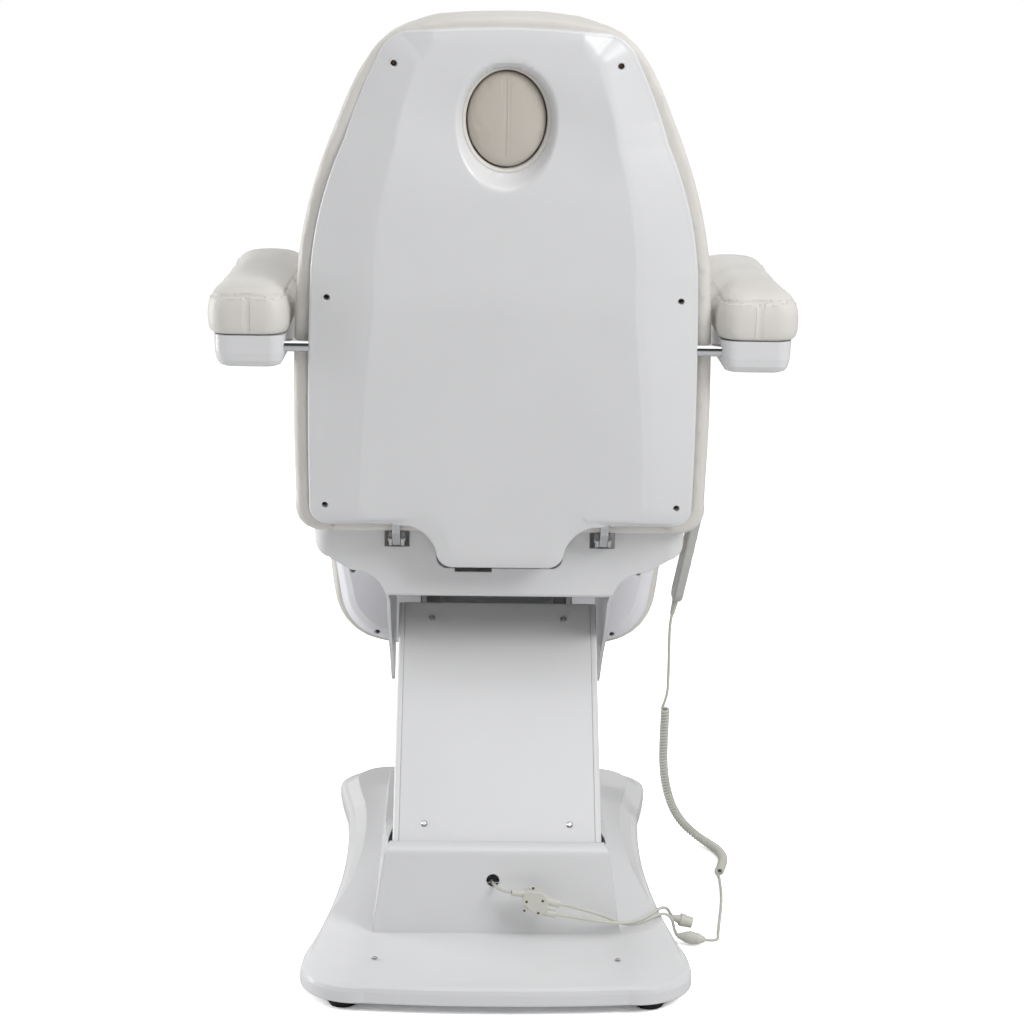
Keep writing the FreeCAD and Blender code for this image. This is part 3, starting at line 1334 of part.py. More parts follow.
def strain_end(distance):
    """A point below the handset on its tilted axis."""
    tilt = math.radians(HANDSET_TILT)
    return (HANDSET_X + distance * math.sin(tilt), HANDSET_Y, HANDSET_Z - distance * math.cos(tilt))


def unit(vector):
    return FreeCAD.Vector(vector).normalize()


def sample_axis(edges, count):
    """Points and tangents spread evenly along joined edges."""
    lengths = [edge.Length for edge in edges]
    total = sum(lengths)
    places = []
    for index in range(count + 1):
        left = total * index / count
        number = 0
        while number < len(edges) - 1 and left > lengths[number]:
            left -= lengths[number]
            number += 1
        edge = edges[number]
        at = edge.getParameterByLength(min(left, lengths[number]))
        places.append((edge.valueAt(at), unit(edge.tangentAt(at))))
    return places, total


def curl_points():
    """Quarter points of the helix about the cord's route, with their tangents."""
    edges, radii = route_edges(CURL_ROUTE)
    places, total = sample_axis(edges, CURL_COUNT * 4)
    side = unit(places[0][1].cross(vec(0, 1, 0)))
    pitch = total / CURL_COUNT
    points, tangents = [], []
    for index, (centre, along) in enumerate(places):
        side = unit(side.sub(FreeCAD.Vector(along).multiply(side.dot(along))))
        across = along.cross(side)
        angle = index * math.pi / 2
        outward = FreeCAD.Vector(side).multiply(math.cos(angle)).add(
            FreeCAD.Vector(across).multiply(math.sin(angle)))
        forward = FreeCAD.Vector(across).multiply(math.cos(angle)).sub(
            FreeCAD.Vector(side).multiply(math.sin(angle)))
        points.append(centre.add(FreeCAD.Vector(outward).multiply(CURL_RADIUS)))
        rise = FreeCAD.Vector(along).multiply(pitch / (2 * math.pi))
        tangents.append(unit(FreeCAD.Vector(forward).multiply(CURL_RADIUS).add(rise)))
    print("curl route radii", radii, "length", round(total), "pitch", round(pitch, 2))
    return points, tangents


def biarc(start, start_way, end, end_way):
    """Two tangent arcs from start to end."""
    gap = end.sub(start)
    ways = start_way.add(end_way)
    dot = start_way.dot(end_way)
    a = 2 * (1 - dot)
    b = 2 * gap.dot(ways)
    c = -gap.dot(gap)
    reach = (-b + math.sqrt(b * b - 4 * a * c)) / (2 * a)
    first = start.add(FreeCAD.Vector(start_way).multiply(reach))
    last = end.sub(FreeCAD.Vector(end_way).multiply(reach))
    joint = first.add(last).multiply(0.5)
    return [arc_from(start, start_way, joint), arc_from(joint, unit(last.sub(first)), end)]


def arc_from(start, way, end):
    """The arc that leaves start along way and ends at end."""
    gap = end.sub(start)
    half = way.getAngle(gap)
    sideways = unit(gap.sub(FreeCAD.Vector(way).multiply(gap.dot(way))))
    bow = gap.Length / 2 * math.tan(half / 2)
    across = unit(FreeCAD.Vector(way).multiply(gap.dot(sideways)).sub(
        FreeCAD.Vector(sideways).multiply(gap.dot(way))))
    middle = start.add(end).multiply(0.5).add(across.multiply(bow))
    return Part.Arc(start, middle, end).toShape()


def least_gap(points):
    """The least distance between the helix's own turns, less the wire's thickness."""
    least = 1e9
    for index, point in enumerate(points):
        for other in range(index + 3, min(index + 12, len(points))):
            least = min(least, point.sub(points[other]).Length)
    return least - 2 * CORD_RADIUS


def curly_cord():
    """The curls, as one square-sided tube along biarcs through the helix's quarter points."""
    points, tangents = curl_points()
    edges = []
    for index in range(len(points) - 1):
        edges += biarc(points[index], tangents[index], points[index + 1], tangents[index + 1])
    path = Part.Wire(edges)
    start, way = points[0], tangents[0]
    side = unit(way.cross(vec(0, 0, 1)))
    across = way.cross(side)
    corners = []
    for turn in (0, 1, 2, 3):
        angle = math.pi / 4 + turn * math.pi / 2
        corners.append(start.add(FreeCAD.Vector(side).multiply(CORD_RADIUS * math.cos(angle))).add(
            FreeCAD.Vector(across).multiply(CORD_RADIUS * math.sin(angle))))
    section = Part.makePolygon(corners + [corners[0]])
    tube = path.makePipeShell([section], True, False)
    print("curls", CURL_COUNT, "cord length", round(path.Length), "least gap",
          round(least_gap(points), 2))
    first, last = points[0], points[-1]
    return tube, (first.x, first.y, first.z), (last.x, last.y, last.z)


# Connectors on the cables

def splitter_block():
    """A flat many-sided junction box with two lugs and three round sockets."""
    outline = [
        (17.8, 12.5), (11, 18.8), (-11, 15), (-19.5, 3.8), (-18.3, -12.5), (-8.5, -22.5), (2, -20),
        (16, -6.3), (20.3, 1),
    ]
    block = prism(outline, on_y(-9), vec(0, 18, 0))
    rims = [edge for edge in block.Edges if edge.BoundBox.YLength < 0.01]
    block = block.makeFillet(2.0, rims)
    lugs = [rod((x, 2, z), (x, 7, z), 4.5) for x, z in ((4, 20), (15.5, -12))]
    ports = [
        rod((10, 0, 9), (36.5, 0, 12.6), 5.0),
        rod((-12, 0, 0.3), (-36.6, 0, -5.4), 6.2),
        rod((-6, 0, -17.6), (-31, 0, -22.5), 5.8),
    ]
    whole = fuse([block] + lugs + ports)
    whole.translate(vec(*BLOCK_AT))
    return whole


def connector(start, end, flare):
    """A round cable connector with tapered ends and a grip ring; flare is the far end's radius."""
    start, end = vec(*start), vec(*end)
    way = unit(end.sub(start))
    length = end.sub(start).Length

    def at(distance):
        return start.add(FreeCAD.Vector(way).multiply(distance))

    pieces = [
        Part.makeCone(4.0, 7.0, 9, at(0), way),
        Part.makeCone(7.0, 9.4, 6, at(9), way),
        Part.makeCylinder(9.4, length - 27, at(15), way),
        Part.makeCylinder(10.4, 8, at(length / 2 - 4), way),
        Part.makeCone(9.4, flare, 12, at(length - 12), way),
    ]
    return fuse(pieces)


def cables():
    keep("outlet_lead", cable("outlet_lead", LEAD_ROUTE, CORD_RADIUS))
    keep("splitter_block", splitter_block())
    keep("branch_lead_a", cable("branch_lead_a", BRANCH_A, CORD_RADIUS))
    keep("branch_lead_b", cable("branch_lead_b", BRANCH_B, CORD_RADIUS))
    keep("inline_connector", connector(BRANCH_A[-1], TAIL_ROUTE[0], 4.0))
    spare_end = tuple(a + 32 * b for a, b in zip(BRANCH_B[-1], (-0.955, -0.03, -0.295)))
    keep("spare_socket", connector(BRANCH_B[-1], spare_end, 9.0))
    curls, first, last = curly_cord()
    lead = [strain_end(28), strain_end(40)] + LEAD_DOWN + [first]
    keep("hand_lead", cable("hand_lead", lead, CORD_RADIUS))
    keep("curly_cord", curls)
    keep("hand_tail", cable("hand_tail", TAIL_ROUTE + [last], CORD_RADIUS))


def build_base():
    keep("base_cover", base_cover())
    keep("base_frame", base_frame())
    keep("base_feet", feet())
    keep("deck_screws", deck_screws())
    keep("base_pins", base_pins())


def build_lift():
    keep("arm_frame", arm_frame())
    keep("arm_cover", arm_cover())
    keep("arm_panel", arm_panel())
    keep("panel_screws", panel_screws())
    keep("tie_arm", tie_arm())
    motors()


def build_seat():
    keep("seat_frame", seat_frame())
    keep("carrier_pins", carrier_pins())
    keep("seat_board", seat_board())
    keep("seat_cushion", seat_cushion())
    keep("pan_cover", pan_cover())
    keep("handset_holder", handset_holder())


def build_back():
    keep("back_frame", back_frame())
    keep("back_board", back_board())
    keep("back_cushion", back_cushion())
    keep("back_shell", back_shell())
    keep("shell_screws", shell_screws())
    keep("armrest_rod", armrest_rod())
    keep("face_plug", face_plug())


def build_armrests():
    pad, shell = armrest_pad(), armrest_shell()
    keep("armrest_pad_left", pad)
    keep("armrest_shell_left", shell)
    keep("armrest_pad_right", mirrored_x(pad))
    keep("armrest_shell_right", mirrored_x(shell))


def build_legs():
    keep("leg_frame", leg_frame())
    pieces = {"cushion": leg_cushion(), "board": leg_board(), "shell": leg_shell()}
    for name, piece in pieces.items():
        keep("leg_" + name + "_left", piece)
        keep("leg_" + name + "_right", mirrored_x(piece))
    screws = leg_screws()
    keep("leg_screws_left", screws)
    keep("leg_screws_right", [mirrored_x(screw) for screw in screws])


def build_handset():
    keep("handset_body", handset_body().fuse(handset_hook()).removeSplitter())
    keep("handset_strain_relief", strain_relief())
    for number, (y, z) in enumerate(button_places(), 1):
        keep("handset_button_" + str(number), handset_button(y, z))


def main():
    os.makedirs("parts", exist_ok=True)
    build_base()
    build_lift()
    build_seat()
    build_back()
    build_armrests()
    build_legs()
    build_handset()
    cables()
    print(len(PARTS), "pieces")


main()
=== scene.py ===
# %% [markdown]
# A pedicure chair seen from behind: a tall moulded back shell on a lift column, padded arm rests,
# a low moulded base, and a corded handset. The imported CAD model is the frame. Hard pieces keep
# their CAD meshes where these are right, and soft or softly rounded pieces are built here.

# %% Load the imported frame
import json
import math

import bmesh
import bpy
import numpy as np
from mathutils import Matrix, Vector
from mathutils.bvhtree import BVHTree
from mathutils.kdtree import KDTree


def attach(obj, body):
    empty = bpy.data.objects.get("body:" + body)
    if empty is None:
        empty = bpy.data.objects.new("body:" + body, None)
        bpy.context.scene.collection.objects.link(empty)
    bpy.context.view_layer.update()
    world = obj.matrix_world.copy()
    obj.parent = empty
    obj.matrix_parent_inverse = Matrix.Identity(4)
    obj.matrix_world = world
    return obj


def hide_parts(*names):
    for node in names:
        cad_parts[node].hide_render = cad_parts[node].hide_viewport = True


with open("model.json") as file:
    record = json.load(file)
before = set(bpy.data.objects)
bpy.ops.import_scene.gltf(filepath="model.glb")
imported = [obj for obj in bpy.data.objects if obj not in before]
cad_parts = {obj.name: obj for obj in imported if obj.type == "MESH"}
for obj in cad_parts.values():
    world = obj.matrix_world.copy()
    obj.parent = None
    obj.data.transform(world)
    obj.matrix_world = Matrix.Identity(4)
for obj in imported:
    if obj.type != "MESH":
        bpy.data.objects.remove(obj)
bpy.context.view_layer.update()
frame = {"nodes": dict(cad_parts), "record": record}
nodes = frame["nodes"]


def placed(name, data):
    """A new object in the scene."""
    made = bpy.data.objects.new(name, data)
    bpy.context.scene.collection.objects.link(made)
    return made


# %% [markdown]
# The photograph is taken from behind and a little above, with a long lens. The camera's place was
# worked out from the chair's known straight lines, so it can be written down as plain numbers.

# %% Camera
FOCAL_PIXELS, IMAGE_PIXELS, SENSOR = 2300.0, 1024, 36.0
CAMERA_AT = Vector((0.048, 3.612, 1.5055))
PITCH, YAW, ROLL = (math.radians(a) for a in (13.27, -1.09, 0.88))

camera_data = bpy.data.cameras.new("camera")
camera_data.sensor_width = SENSOR
camera_data.lens = FOCAL_PIXELS / IMAGE_PIXELS * SENSOR
camera = placed("camera", camera_data)
ahead = Vector((math.sin(YAW) * math.cos(PITCH), -math.cos(YAW) * math.cos(PITCH),
                -math.sin(PITCH)))
level = Vector((-math.cos(YAW), -math.sin(YAW), 0))
upward = level.cross(ahead)
camera_right = level * math.cos(ROLL) + upward * math.sin(ROLL)
camera_up = upward * math.cos(ROLL) - level * math.sin(ROLL)
turn = Matrix((camera_right, camera_up, -ahead)).transposed().to_4x4()
camera.matrix_world = Matrix.Translation(CAMERA_AT) @ turn
bpy.context.scene.camera = camera
print("lens", round(camera_data.lens, 2), "mm")

# %% [markdown]
# The world and every finish are made of nodes. A small set of helpers makes the parts that they
# share: soft mottling of the colour, a varying roughness, and a relief from noise or cells.
# Coordinates are the object's own, in metres, so grain has its real size on every piece.

# %% Helpers for nodes
FINISHES = {}


def new_finish(name, colour, roughness, **sockets):
    """A material with its plain values set on the shader's own sockets."""
    material = bpy.data.materials.new("finish_" + name)
    FINISHES[name] = material
    material.use_nodes = True
    shader = material.node_tree.nodes["Principled BSDF"]
    shader.inputs["Base Color"].default_value = (*colour, 1)
    shader.inputs["Roughness"].default_value = roughness
    for socket, value in sockets.items():
        shader.inputs[socket.replace("_", " ")].default_value = value
    return material


def add(material, kind, **values):
    """A new node of a material or of the world, with its settings and input values."""
    made = material.node_tree.nodes.new("ShaderNode" + kind)
    for key, value in values.items():
        if key in made.inputs:
            made.inputs[key].default_value = value
        else:
            setattr(made, key, value)
    return made


def join(material, output, target):
    material.node_tree.links.new(output, target)


def shader_of(material):
    return material.node_tree.nodes["Principled BSDF"]


def place_in(material, stretch=(1, 1, 1)):
    """Object coordinates in metres, stretched along the axes."""
    coordinates = add(material, "TexCoord")
    mapping = add(material, "Mapping")
    mapping.inputs["Scale"].default_value = stretch
    join(material, coordinates.outputs["Object"], mapping.inputs["Vector"])
    return mapping.outputs["Vector"]


def noise(material, scale, detail=3.0, stretch=(1, 1, 1), roughness=0.5):
    made = add(material, "TexNoise", Scale=scale, Detail=detail, Roughness=roughness)
    join(material, place_in(material, stretch), made.inputs["Vector"])
    return made.outputs["Fac"]


def spread(material, value, low, high, to_low, to_high):
    """Maps a value's range low..high onto to_low..to_high."""
    made = add(material, "MapRange")
    for socket, number in (("From Min", low), ("From Max", high), ("To Min", to_low),
                           ("To Max", to_high)):
        made.inputs[socket].default_value = number
    join(material, value, made.inputs["Value"])
    return made.outputs["Result"]


def combine(material, operation, first, second):
    """Two values worked into one."""
    made = add(material, "Math", operation=operation)
    join(material, first, made.inputs[0])
    join(material, second, made.inputs[1])
    return made.outputs[0]


def roughen(material, value, low, high, to_low, to_high):
    join(material, spread(material, value, low, high, to_low, to_high),
         shader_of(material).inputs["Roughness"])


def mottle(material, value, first, second):
    """Colours the surface between two tones."""
    mix = add(material, "Mix", data_type="RGBA")
    mix.inputs["A"].default_value = (*first, 1)
    mix.inputs["B"].default_value = (*second, 1)
    join(material, value, mix.inputs["Factor"])
    join(material, mix.outputs["Result"], shader_of(material).inputs["Base Color"])
    return mix


def relief(material, height, strength, distance, after=None):
    """Raises the surface by a height value. Reliefs can follow one another."""
    bump = add(material, "Bump", Strength=strength, Distance=distance)
    join(material, height, bump.inputs["Height"])
    if after is not None:
        join(material, after, bump.inputs["Normal"])
    join(material, bump.outputs["Normal"], shader_of(material).inputs["Normal"])
    return bump.outputs["Normal"]

# %% [markdown]
# White covers need soft light from many sides and one larger lamp to model their folds. The world
# gives the even part. Camera and mirror rays see it at full white, but for mirror rays the room
# behind the camera is dark, which gives chrome its dark band between two bright ones.

# %% World and lamps
EVEN_LIGHT = 0.39
world = bpy.data.worlds.new("studio")
bpy.context.scene.world = world
world.use_nodes = True
rays = add(world, "LightPath").outputs
seen = combine(world, "MAXIMUM", rays["Is Camera Ray"], rays["Is Glossy Ray"])
seen = combine(world, "MAXIMUM", seen, rays["Is Transmission Ray"])
strength = spread(world, seen, 0, 1, EVEN_LIGHT, 1)
way_parts = add(world, "SeparateXYZ")
join(world, add(world, "TexCoord").outputs["Generated"], way_parts.inputs[0])
room = rays["Is Glossy Ray"]
for part, limits in (("Z", (-0.55, -0.40, 0, 1)), ("Z", (0.62, 0.78, 1, 0)),
                     ("Y", (0.15, 0.45, 0, 0.93))):
    band = spread(world, way_parts.outputs[part], *limits)
    band.node.interpolation_type = "SMOOTHSTEP"
    room = combine(world, "MULTIPLY", room, band)
sky = world.node_tree.nodes["Background"]
sky.inputs["Color"].default_value = (1, 1, 1, 1)
join(world, combine(world, "SUBTRACT", strength, room), sky.inputs["Strength"])
bpy.context.scene.view_settings.view_transform = "Standard"


def softbox(name, place, target, size, power):
    """A square lamp of that many watts, aimed at a point."""
    data = bpy.data.lights.new(name, "AREA")
    data.size, data.energy = size, power
    lamp = placed(name, data)
    lamp.location = place
    lamp.rotation_euler = (Vector(target) - Vector(place)).to_track_quat("-Z", "Y").to_euler()


softbox("key", (-2.6, 2.4, 3.0), (0, 0, 0.7), 1.6, 72)
softbox("top", (-0.4, 1.8, 3.8), (0, 0.3, 0.2), 2.0, 24)
softbox("fill", (3.2, -0.5, 1.1), (0, 0, 0.8), 1.6, 58)
print("3 lamps and an even world")

# %% [markdown]
# The floor is a plain pale sheet that runs to the horizon. For camera rays it is painted a little
# above white, so that lit floor matches the white world and only the chair's shadow shows.

# %% Floor
floor_mesh = bpy.data.meshes.new("floor")
REACH = 40
floor_mesh.from_pydata([(-REACH, -REACH, 0), (REACH, -REACH, 0), (REACH, REACH, 0),
                        (-REACH, REACH, 0)], [], [(0, 1, 2, 3)])
floor = placed("floor", floor_mesh)
paper = bpy.data.materials.new("studio_paper")
paper.use_nodes = True
paper_shader = shader_of(paper)
paper_shader.inputs["Roughness"].default_value = 0.9
paper_shader.inputs["Specular IOR Level"].default_value = 0.0
paper_tone = add(paper, "Mix", data_type="RGBA")
paper_tone.inputs["A"].default_value = (0.80, 0.80, 0.80, 1)
paper_tone.inputs["B"].default_value = (2.85, 2.85, 2.85, 1)
join(paper, add(paper, "LightPath").outputs["Is Camera Ray"], paper_tone.inputs["Factor"])
join(paper, paper_tone.outputs["Result"], paper_shader.inputs["Base Color"])
floor_mesh.materials.append(paper)
print("floor laid")

# %% [markdown]
# The covers are glossy moulded ABS. Up close such a surface is not perfectly flat: it has a very
# faint orange peel, broad differences in gloss, and a few hairline scuffs from handling. Corners
# of moulded parts are never sharp, so the shader also rounds every edge by a few millimetres.

# %% Moulded covers and enamelled metal
def moulded(name, tone, gloss, scuffs, rounding=0.0025):
    material = new_finish(name, tone, gloss, Specular_IOR_Level=0.45)
    broad = noise(material, 5.0, 2.0)
    shade = tuple(c * 0.975 for c in tone)
    mottle(material, spread(material, broad, 0.35, 0.65, 0, 1), tone, shade)
    hairs = noise(material, 60.0, 4.0, (1.0, 1.0, 0.18), 0.65)
    roughen(material, hairs, 0.62, 0.80, gloss, gloss + scuffs)
    rounded = add(material, "Bevel", samples=4, Radius=rounding)
    relief(material, noise(material, 240.0, 2.0), 0.05, 0.0005, rounded.outputs["Normal"])
    return material


white_shell = moulded("white_shell", (0.765, 0.768, 0.778), 0.22, 0.06)
white_panel = moulded("white_panel", (0.755, 0.758, 0.768), 0.33, 0.05)
# Painted light: the leg shells take a lighter copy of the cover plastic, brightened to offset the
# shade under the pan and seat.
leg_white_painted_light = moulded("leg_white_painted_light", (0.900, 0.900, 0.935), 0.30, 0.05, 0.006)
frame_enamel = moulded("frame_enamel", (0.60, 0.62, 0.64), 0.38, 0.08, 0.0012)
print("covers and enamel ready")

# %% [markdown]
# Bare metal shows its making: zinc plate has a cool, cloudy bloom, a ground rod has fine rings,
# and chrome is near to a mirror with the faintest haze.


# %% Metals
def metal(name, tone, rough, bloom_scale, stretch=(1, 1, 1)):
    material = new_finish(name, tone, rough, Metallic=1.0)
    bloom = noise(material, bloom_scale, 4.0, stretch, 0.6)
    mottle(material, spread(material, bloom, 0.3, 0.7, 0, 1), tone, tuple(c * 0.84 for c in tone))
    roughen(material, bloom, 0.3, 0.7, rough * 0.75, rough * 1.35)
    relief(material, bloom, 0.05, 0.0004)
    return material


zinc_steel = metal("zinc_steel", (0.60, 0.61, 0.62), 0.34, 90.0)
zinc_screw = metal("zinc_screw", (0.48, 0.48, 0.49), 0.30, 300.0)
bronze_screw = metal("bronze_screw", (0.16, 0.115, 0.07), 0.36, 300.0)
rod_chrome = metal("rod_chrome", (0.64, 0.65, 0.66), 0.10, 14.0)
rod_steel = metal("rod_steel", (0.58, 0.59, 0.60), 0.24, 180.0, (0.1, 1, 1))
print("metals ready")


# %% [markdown]
# Cords, connectors and the handset are soft or satin plastics in warm grey-white. Motors are dark
# moulded plastic, the feet are black rubber, and the boards are plain plywood with its grain.

# %% Plastics, rubber and board
def plastic(name, tone, rough, grain, depth=0.0004):
    material = new_finish(name, tone, rough, Specular_IOR_Level=0.4)
    cloud = noise(material, 24.0, 3.0)
    mottle(material, spread(material, cloud, 0.35, 0.65, 0, 1), tone,
           tuple(c * 0.93 for c in tone))
    roughen(material, cloud, 0.3, 0.7, rough * 0.85, rough * 1.15)
    relief(material, noise(material, grain, 2.0), 0.25, depth)
    return material


handset_plastic = plastic("handset_plastic", (0.54, 0.54, 0.52), 0.34, 900.0)
button_plastic = plastic("button_plastic", (0.26, 0.28, 0.31), 0.52, 900.0)
cord_plastic = plastic("cord_plastic", (0.64, 0.64, 0.58), 0.46, 700.0)
connector_plastic = plastic("connector_plastic", (0.65, 0.65, 0.59), 0.42, 700.0)
motor_body = plastic("motor_body", (0.030, 0.030, 0.033), 0.50, 500.0)
foot_rubber = plastic("foot_rubber", (0.012, 0.012, 0.012), 0.62, 420.0, 0.0008)

board_wood = new_finish("board_wood", (0.42, 0.28, 0.15), 0.62)
grain = noise(board_wood, 40.0, 6.0, (1.0, 0.12, 0.12), 0.7)
mottle(board_wood, spread(board_wood, grain, 0.35, 0.65, 0, 1), (0.48, 0.33, 0.19),
       (0.33, 0.20, 0.10))
relief(board_wood, grain, 0.3, 0.0008)
print("plastics, rubber and board ready")


# %% [markdown]
# The upholstery is synthetic leather: an embossed grain of small cells about 1.3 mm across, soft
# creases a few centimetres long where the foam gives, and a dull satin sheen.


# %% Synthetic leather
def leather(name, tone, deep, rough):
    material = new_finish(name, tone, rough, Specular_IOR_Level=0.35, Sheen_Weight=0.08)
    cloud = noise(material, 7.0, 3.0)
    mottle(material, spread(material, cloud, 0.35, 0.65, 0, 1), tone, deep)
    cells = add(material, "TexVoronoi", Scale=760.0, feature="DISTANCE_TO_EDGE")
    join(material, place_in(material), cells.inputs["Vector"])
    pores = spread(material, cells.outputs["Distance"], 0.0, 0.25, 0, 1)
    creases = relief(material, noise(material, 26.0, 4.0, (1, 1, 1), 0.55), 0.10, 0.004)
    relief(material, pores, 0.16, 0.0004, creases)
    roughen(material, cloud, 0.3, 0.7, rough * 0.9, rough * 1.12)
    return material


white_leather = leather("white_leather", (0.745, 0.725, 0.690), (0.715, 0.690, 0.650), 0.42)
plug_leather = leather("plug_leather", (0.60, 0.56, 0.50), (0.56, 0.515, 0.45), 0.48)

# %% [markdown]
# Each CAD node keeps its mesh and takes the finish that its slot in the record names. The leg
# shells instead take a lighter copy of the white plastic, which paints in light against their
# shade.

# %% Finishes on the CAD nodes
node_slots = {part["node"]: part["material_slot"] for part in frame["record"]["subparts"]}
for name, node in nodes.items():
    node.data.materials.clear()
    node.data.materials.append(leg_white_painted_light if "leg_shell" in name else FINISHES[node_slots[name]])
print(len(node_slots), "nodes finished")

# %% [markdown]
# The back is drawn upright and then leaned by eight degrees about its hinge, as in the workshop
# drawing. Outlines are written as one half, with straight runs and arcs through a middle point.

# %% Drawing the back
HINGE, LEAN = Vector((0, 0.126, 0.640)), math.radians(8)


def leaned(across, behind, up):
    """A point of the upright drawing, in millimetres, at its place in the chair."""
    y = behind * math.cos(LEAN) + up * math.sin(LEAN)
    z = up * math.cos(LEAN) - behind * math.sin(LEAN)
    return (across / 1000, HINGE.y + y / 1000, HINGE.z + z / 1000)


def arc_places(start, middle, end, count=24):
    """Places along the circle through three points, without the start."""
    (ax, ay), (bx, by), (cx, cy) = start, middle, end
    twice = 2 * (ax * (by - cy) + bx * (cy - ay) + cx * (ay - by))
    a2, b2, c2 = ax * ax + ay * ay, bx * bx + by * by, cx * cx + cy * cy
    ox = (a2 * (by - cy) + b2 * (cy - ay) + c2 * (ay - by)) / twice
    oy = (a2 * (cx - bx) + b2 * (ax - cx) + c2 * (bx - ax)) / twice
    radius = math.hypot(ax - ox, ay - oy)
    first = math.atan2(ay - oy, ax - ox)
    full = 2 * math.pi
    to_middle = (math.atan2(by - oy, bx - ox) - first) % full
    to_end = (math.atan2(cy - oy, cx - ox) - first) % full
    if to_middle > to_end:
        to_end -= full
    angles = [first + to_end * (i + 1) / count for i in range(count)]
    return [(ox + radius * math.cos(a), oy + radius * math.sin(a)) for a in angles]


def run_of(line):
    """How far along the line each of its points lies."""
    return np.concatenate([[0], np.cumsum(np.linalg.norm(np.diff(line, axis=0), axis=1))])


def even_points(line, count, closed=True):
    """Evenly spaced points of a line. A closed one ends where it began, and isn't told twice."""
    line = np.array(line, float)
    run = run_of(line)
    spots = np.linspace(0, run[-1], count, endpoint=not closed)
    return np.stack([np.interp(spots, run, column) for column in line.T], 1)


def drawn(steps, arc=24, cut=1):
    """A drawn outline as points: each step is a straight run, or an arc's middle and end."""
    line = [steps[0]]
    for step in steps[1:]:
        if isinstance(step[0], tuple):
            line += arc_places(line[-1], *step, arc)
        else:
            (x, u), (to_x, to_u) = line[-1], step
            line += [(x + (to_x - x) * i / cut, u + (to_u - u) * i / cut)
                     for i in range(1, cut + 1)]
    return line


def closed_outline(half, count):
    """The half outline and its mirror image, as evenly spaced points of a closed ring."""
    right = drawn(half)
    left = [(-x, y) for x, y in reversed(right) if x > 1e-6]
    return even_points(right + left + [right[0]], count)


BACK_HALF = [(0, 11), (284, 11), ((308, 22), (317, 62)), ((319, 210), (309, 440)),
             ((288, 545), (247, 655)), ((222, 714), (203, 747)), ((180, 775), (138, 794.5)),
             ((70, 805), (0, 808))]
back_ring = closed_outline(BACK_HALF, 360)
print("back outline", np.ptp(back_ring, axis=0).round(1), "mm")

# %% [markdown]
# Every soft piece starts as a skin over rings. The skin is remeshed to even squares, pumped up as
# cloth for twenty steps with its resting side held, and capped, so it crowns but keeps its place.


# %% Skins, swelling and seams
def skin(name, rings, finish, close=(True, True)):
    """A mesh over rings of equally many points, closed at its two ends and facing outward."""
    count = len(rings[0])
    places = [tuple(place) for ring in rings for place in ring]
    faces = []
    for level in range(len(rings) - 1):
        for i in range(count):
            j = (i + 1) % count
            low, high = level * count, (level + 1) * count
            faces.append((low + i, low + j, high + j, high + i))
    if close[0]:
        faces.append(tuple(reversed(range(count))))
    if close[1]:
        faces.append(tuple(range(len(places) - count, len(places))))
    mesh = bpy.data.meshes.new(name)
    mesh.from_pydata(places, [], faces)
    piece = placed(name, mesh)
    mesh.materials.append(finish)
    work = bmesh.new()
    work.from_mesh(mesh)
    bmesh.ops.recalc_face_normals(work, faces=work.faces)
    work.to_mesh(mesh)
    work.free()
    return piece


def settle(piece):
    """Applies the piece's modifiers to its mesh."""
    bpy.context.view_layer.update()
    graph = bpy.context.evaluated_depsgraph_get()
    finish = piece.data.materials[0]
    mesh = bpy.data.meshes.new_from_object(piece.evaluated_get(graph))
    piece.modifiers.clear()
    piece.data = mesh
    if not mesh.materials:
        mesh.materials.append(finish)
    mesh.shade_smooth()


def corners_of(mesh):
    flat = np.empty(len(mesh.vertices) * 3)
    mesh.vertices.foreach_get("co", flat)
    return flat.reshape(-1, 3)


def place_corners(mesh, places):
    mesh.vertices.foreach_set("co", places.ravel())
    mesh.update()


def swell(piece, size, cap, held=None, pressure=4.0):
    """Remeshes a form, pumps it up as cloth, and lets no point move further than the cap."""
    remesh = piece.modifiers.new("even", "REMESH")
    remesh.mode, remesh.voxel_size = "VOXEL", size
    settle(piece)
    start = corners_of(piece.data)
    cloth = piece.modifiers.new("cloth", "CLOTH")
    cloth.settings.use_pressure = True
    cloth.settings.uniform_pressure_force = pressure
    cloth.settings.effector_weights.gravity = 0
    cloth.settings.quality = 4
    cloth.point_cache.frame_start, cloth.point_cache.frame_end = 1, 20
    if held is not None:
        group = piece.vertex_groups.new(name="held")
        group.add([int(i) for i in np.nonzero(held(start))[0]], 1.0, "REPLACE")
        cloth.settings.vertex_group_mass = "held"
    for step in range(1, 21):
        bpy.context.scene.frame_set(step)
    graph = bpy.context.evaluated_depsgraph_get()
    end = corners_of(piece.evaluated_get(graph).data)
    piece.modifiers.clear()
    piece.vertex_groups.clear()
    bpy.context.scene.frame_set(1)
    way = end - start
    far = np.linalg.norm(way, axis=1)
    share = cap * np.tanh(far / cap) / np.maximum(far, 1e-9)
    place_corners(piece.data, start + way * share[:, None])
    print(piece.name, "swelled by up to", round(float((far * share).max()) * 1000, 1), "mm")


def refine(piece, rounds=1):
    """One subdivision, so that seams have enough points to sink into."""
    smooth = piece.modifiers.new("fine", "SUBSURF")
    smooth.levels = smooth.render_levels = rounds
    settle(piece)


def on_surface(piece, line):
    """The line's points moved to the nearest place on the piece, with the normals there."""
    bpy.context.view_layer.update()
    tree = BVHTree.FromObject(piece, bpy.context.evaluated_depsgraph_get())
    hits = [tree.find_nearest(Vector(point)) for point in line]
    return np.array([hit[0] for hit in hits]), np.array([hit[1] for hit in hits])


def dense(line, step=0.001):
    """A polyline's points at an even small step."""
    return even_points(line, max(2, int(run_of(np.array(line, float))[-1] / step)), False)


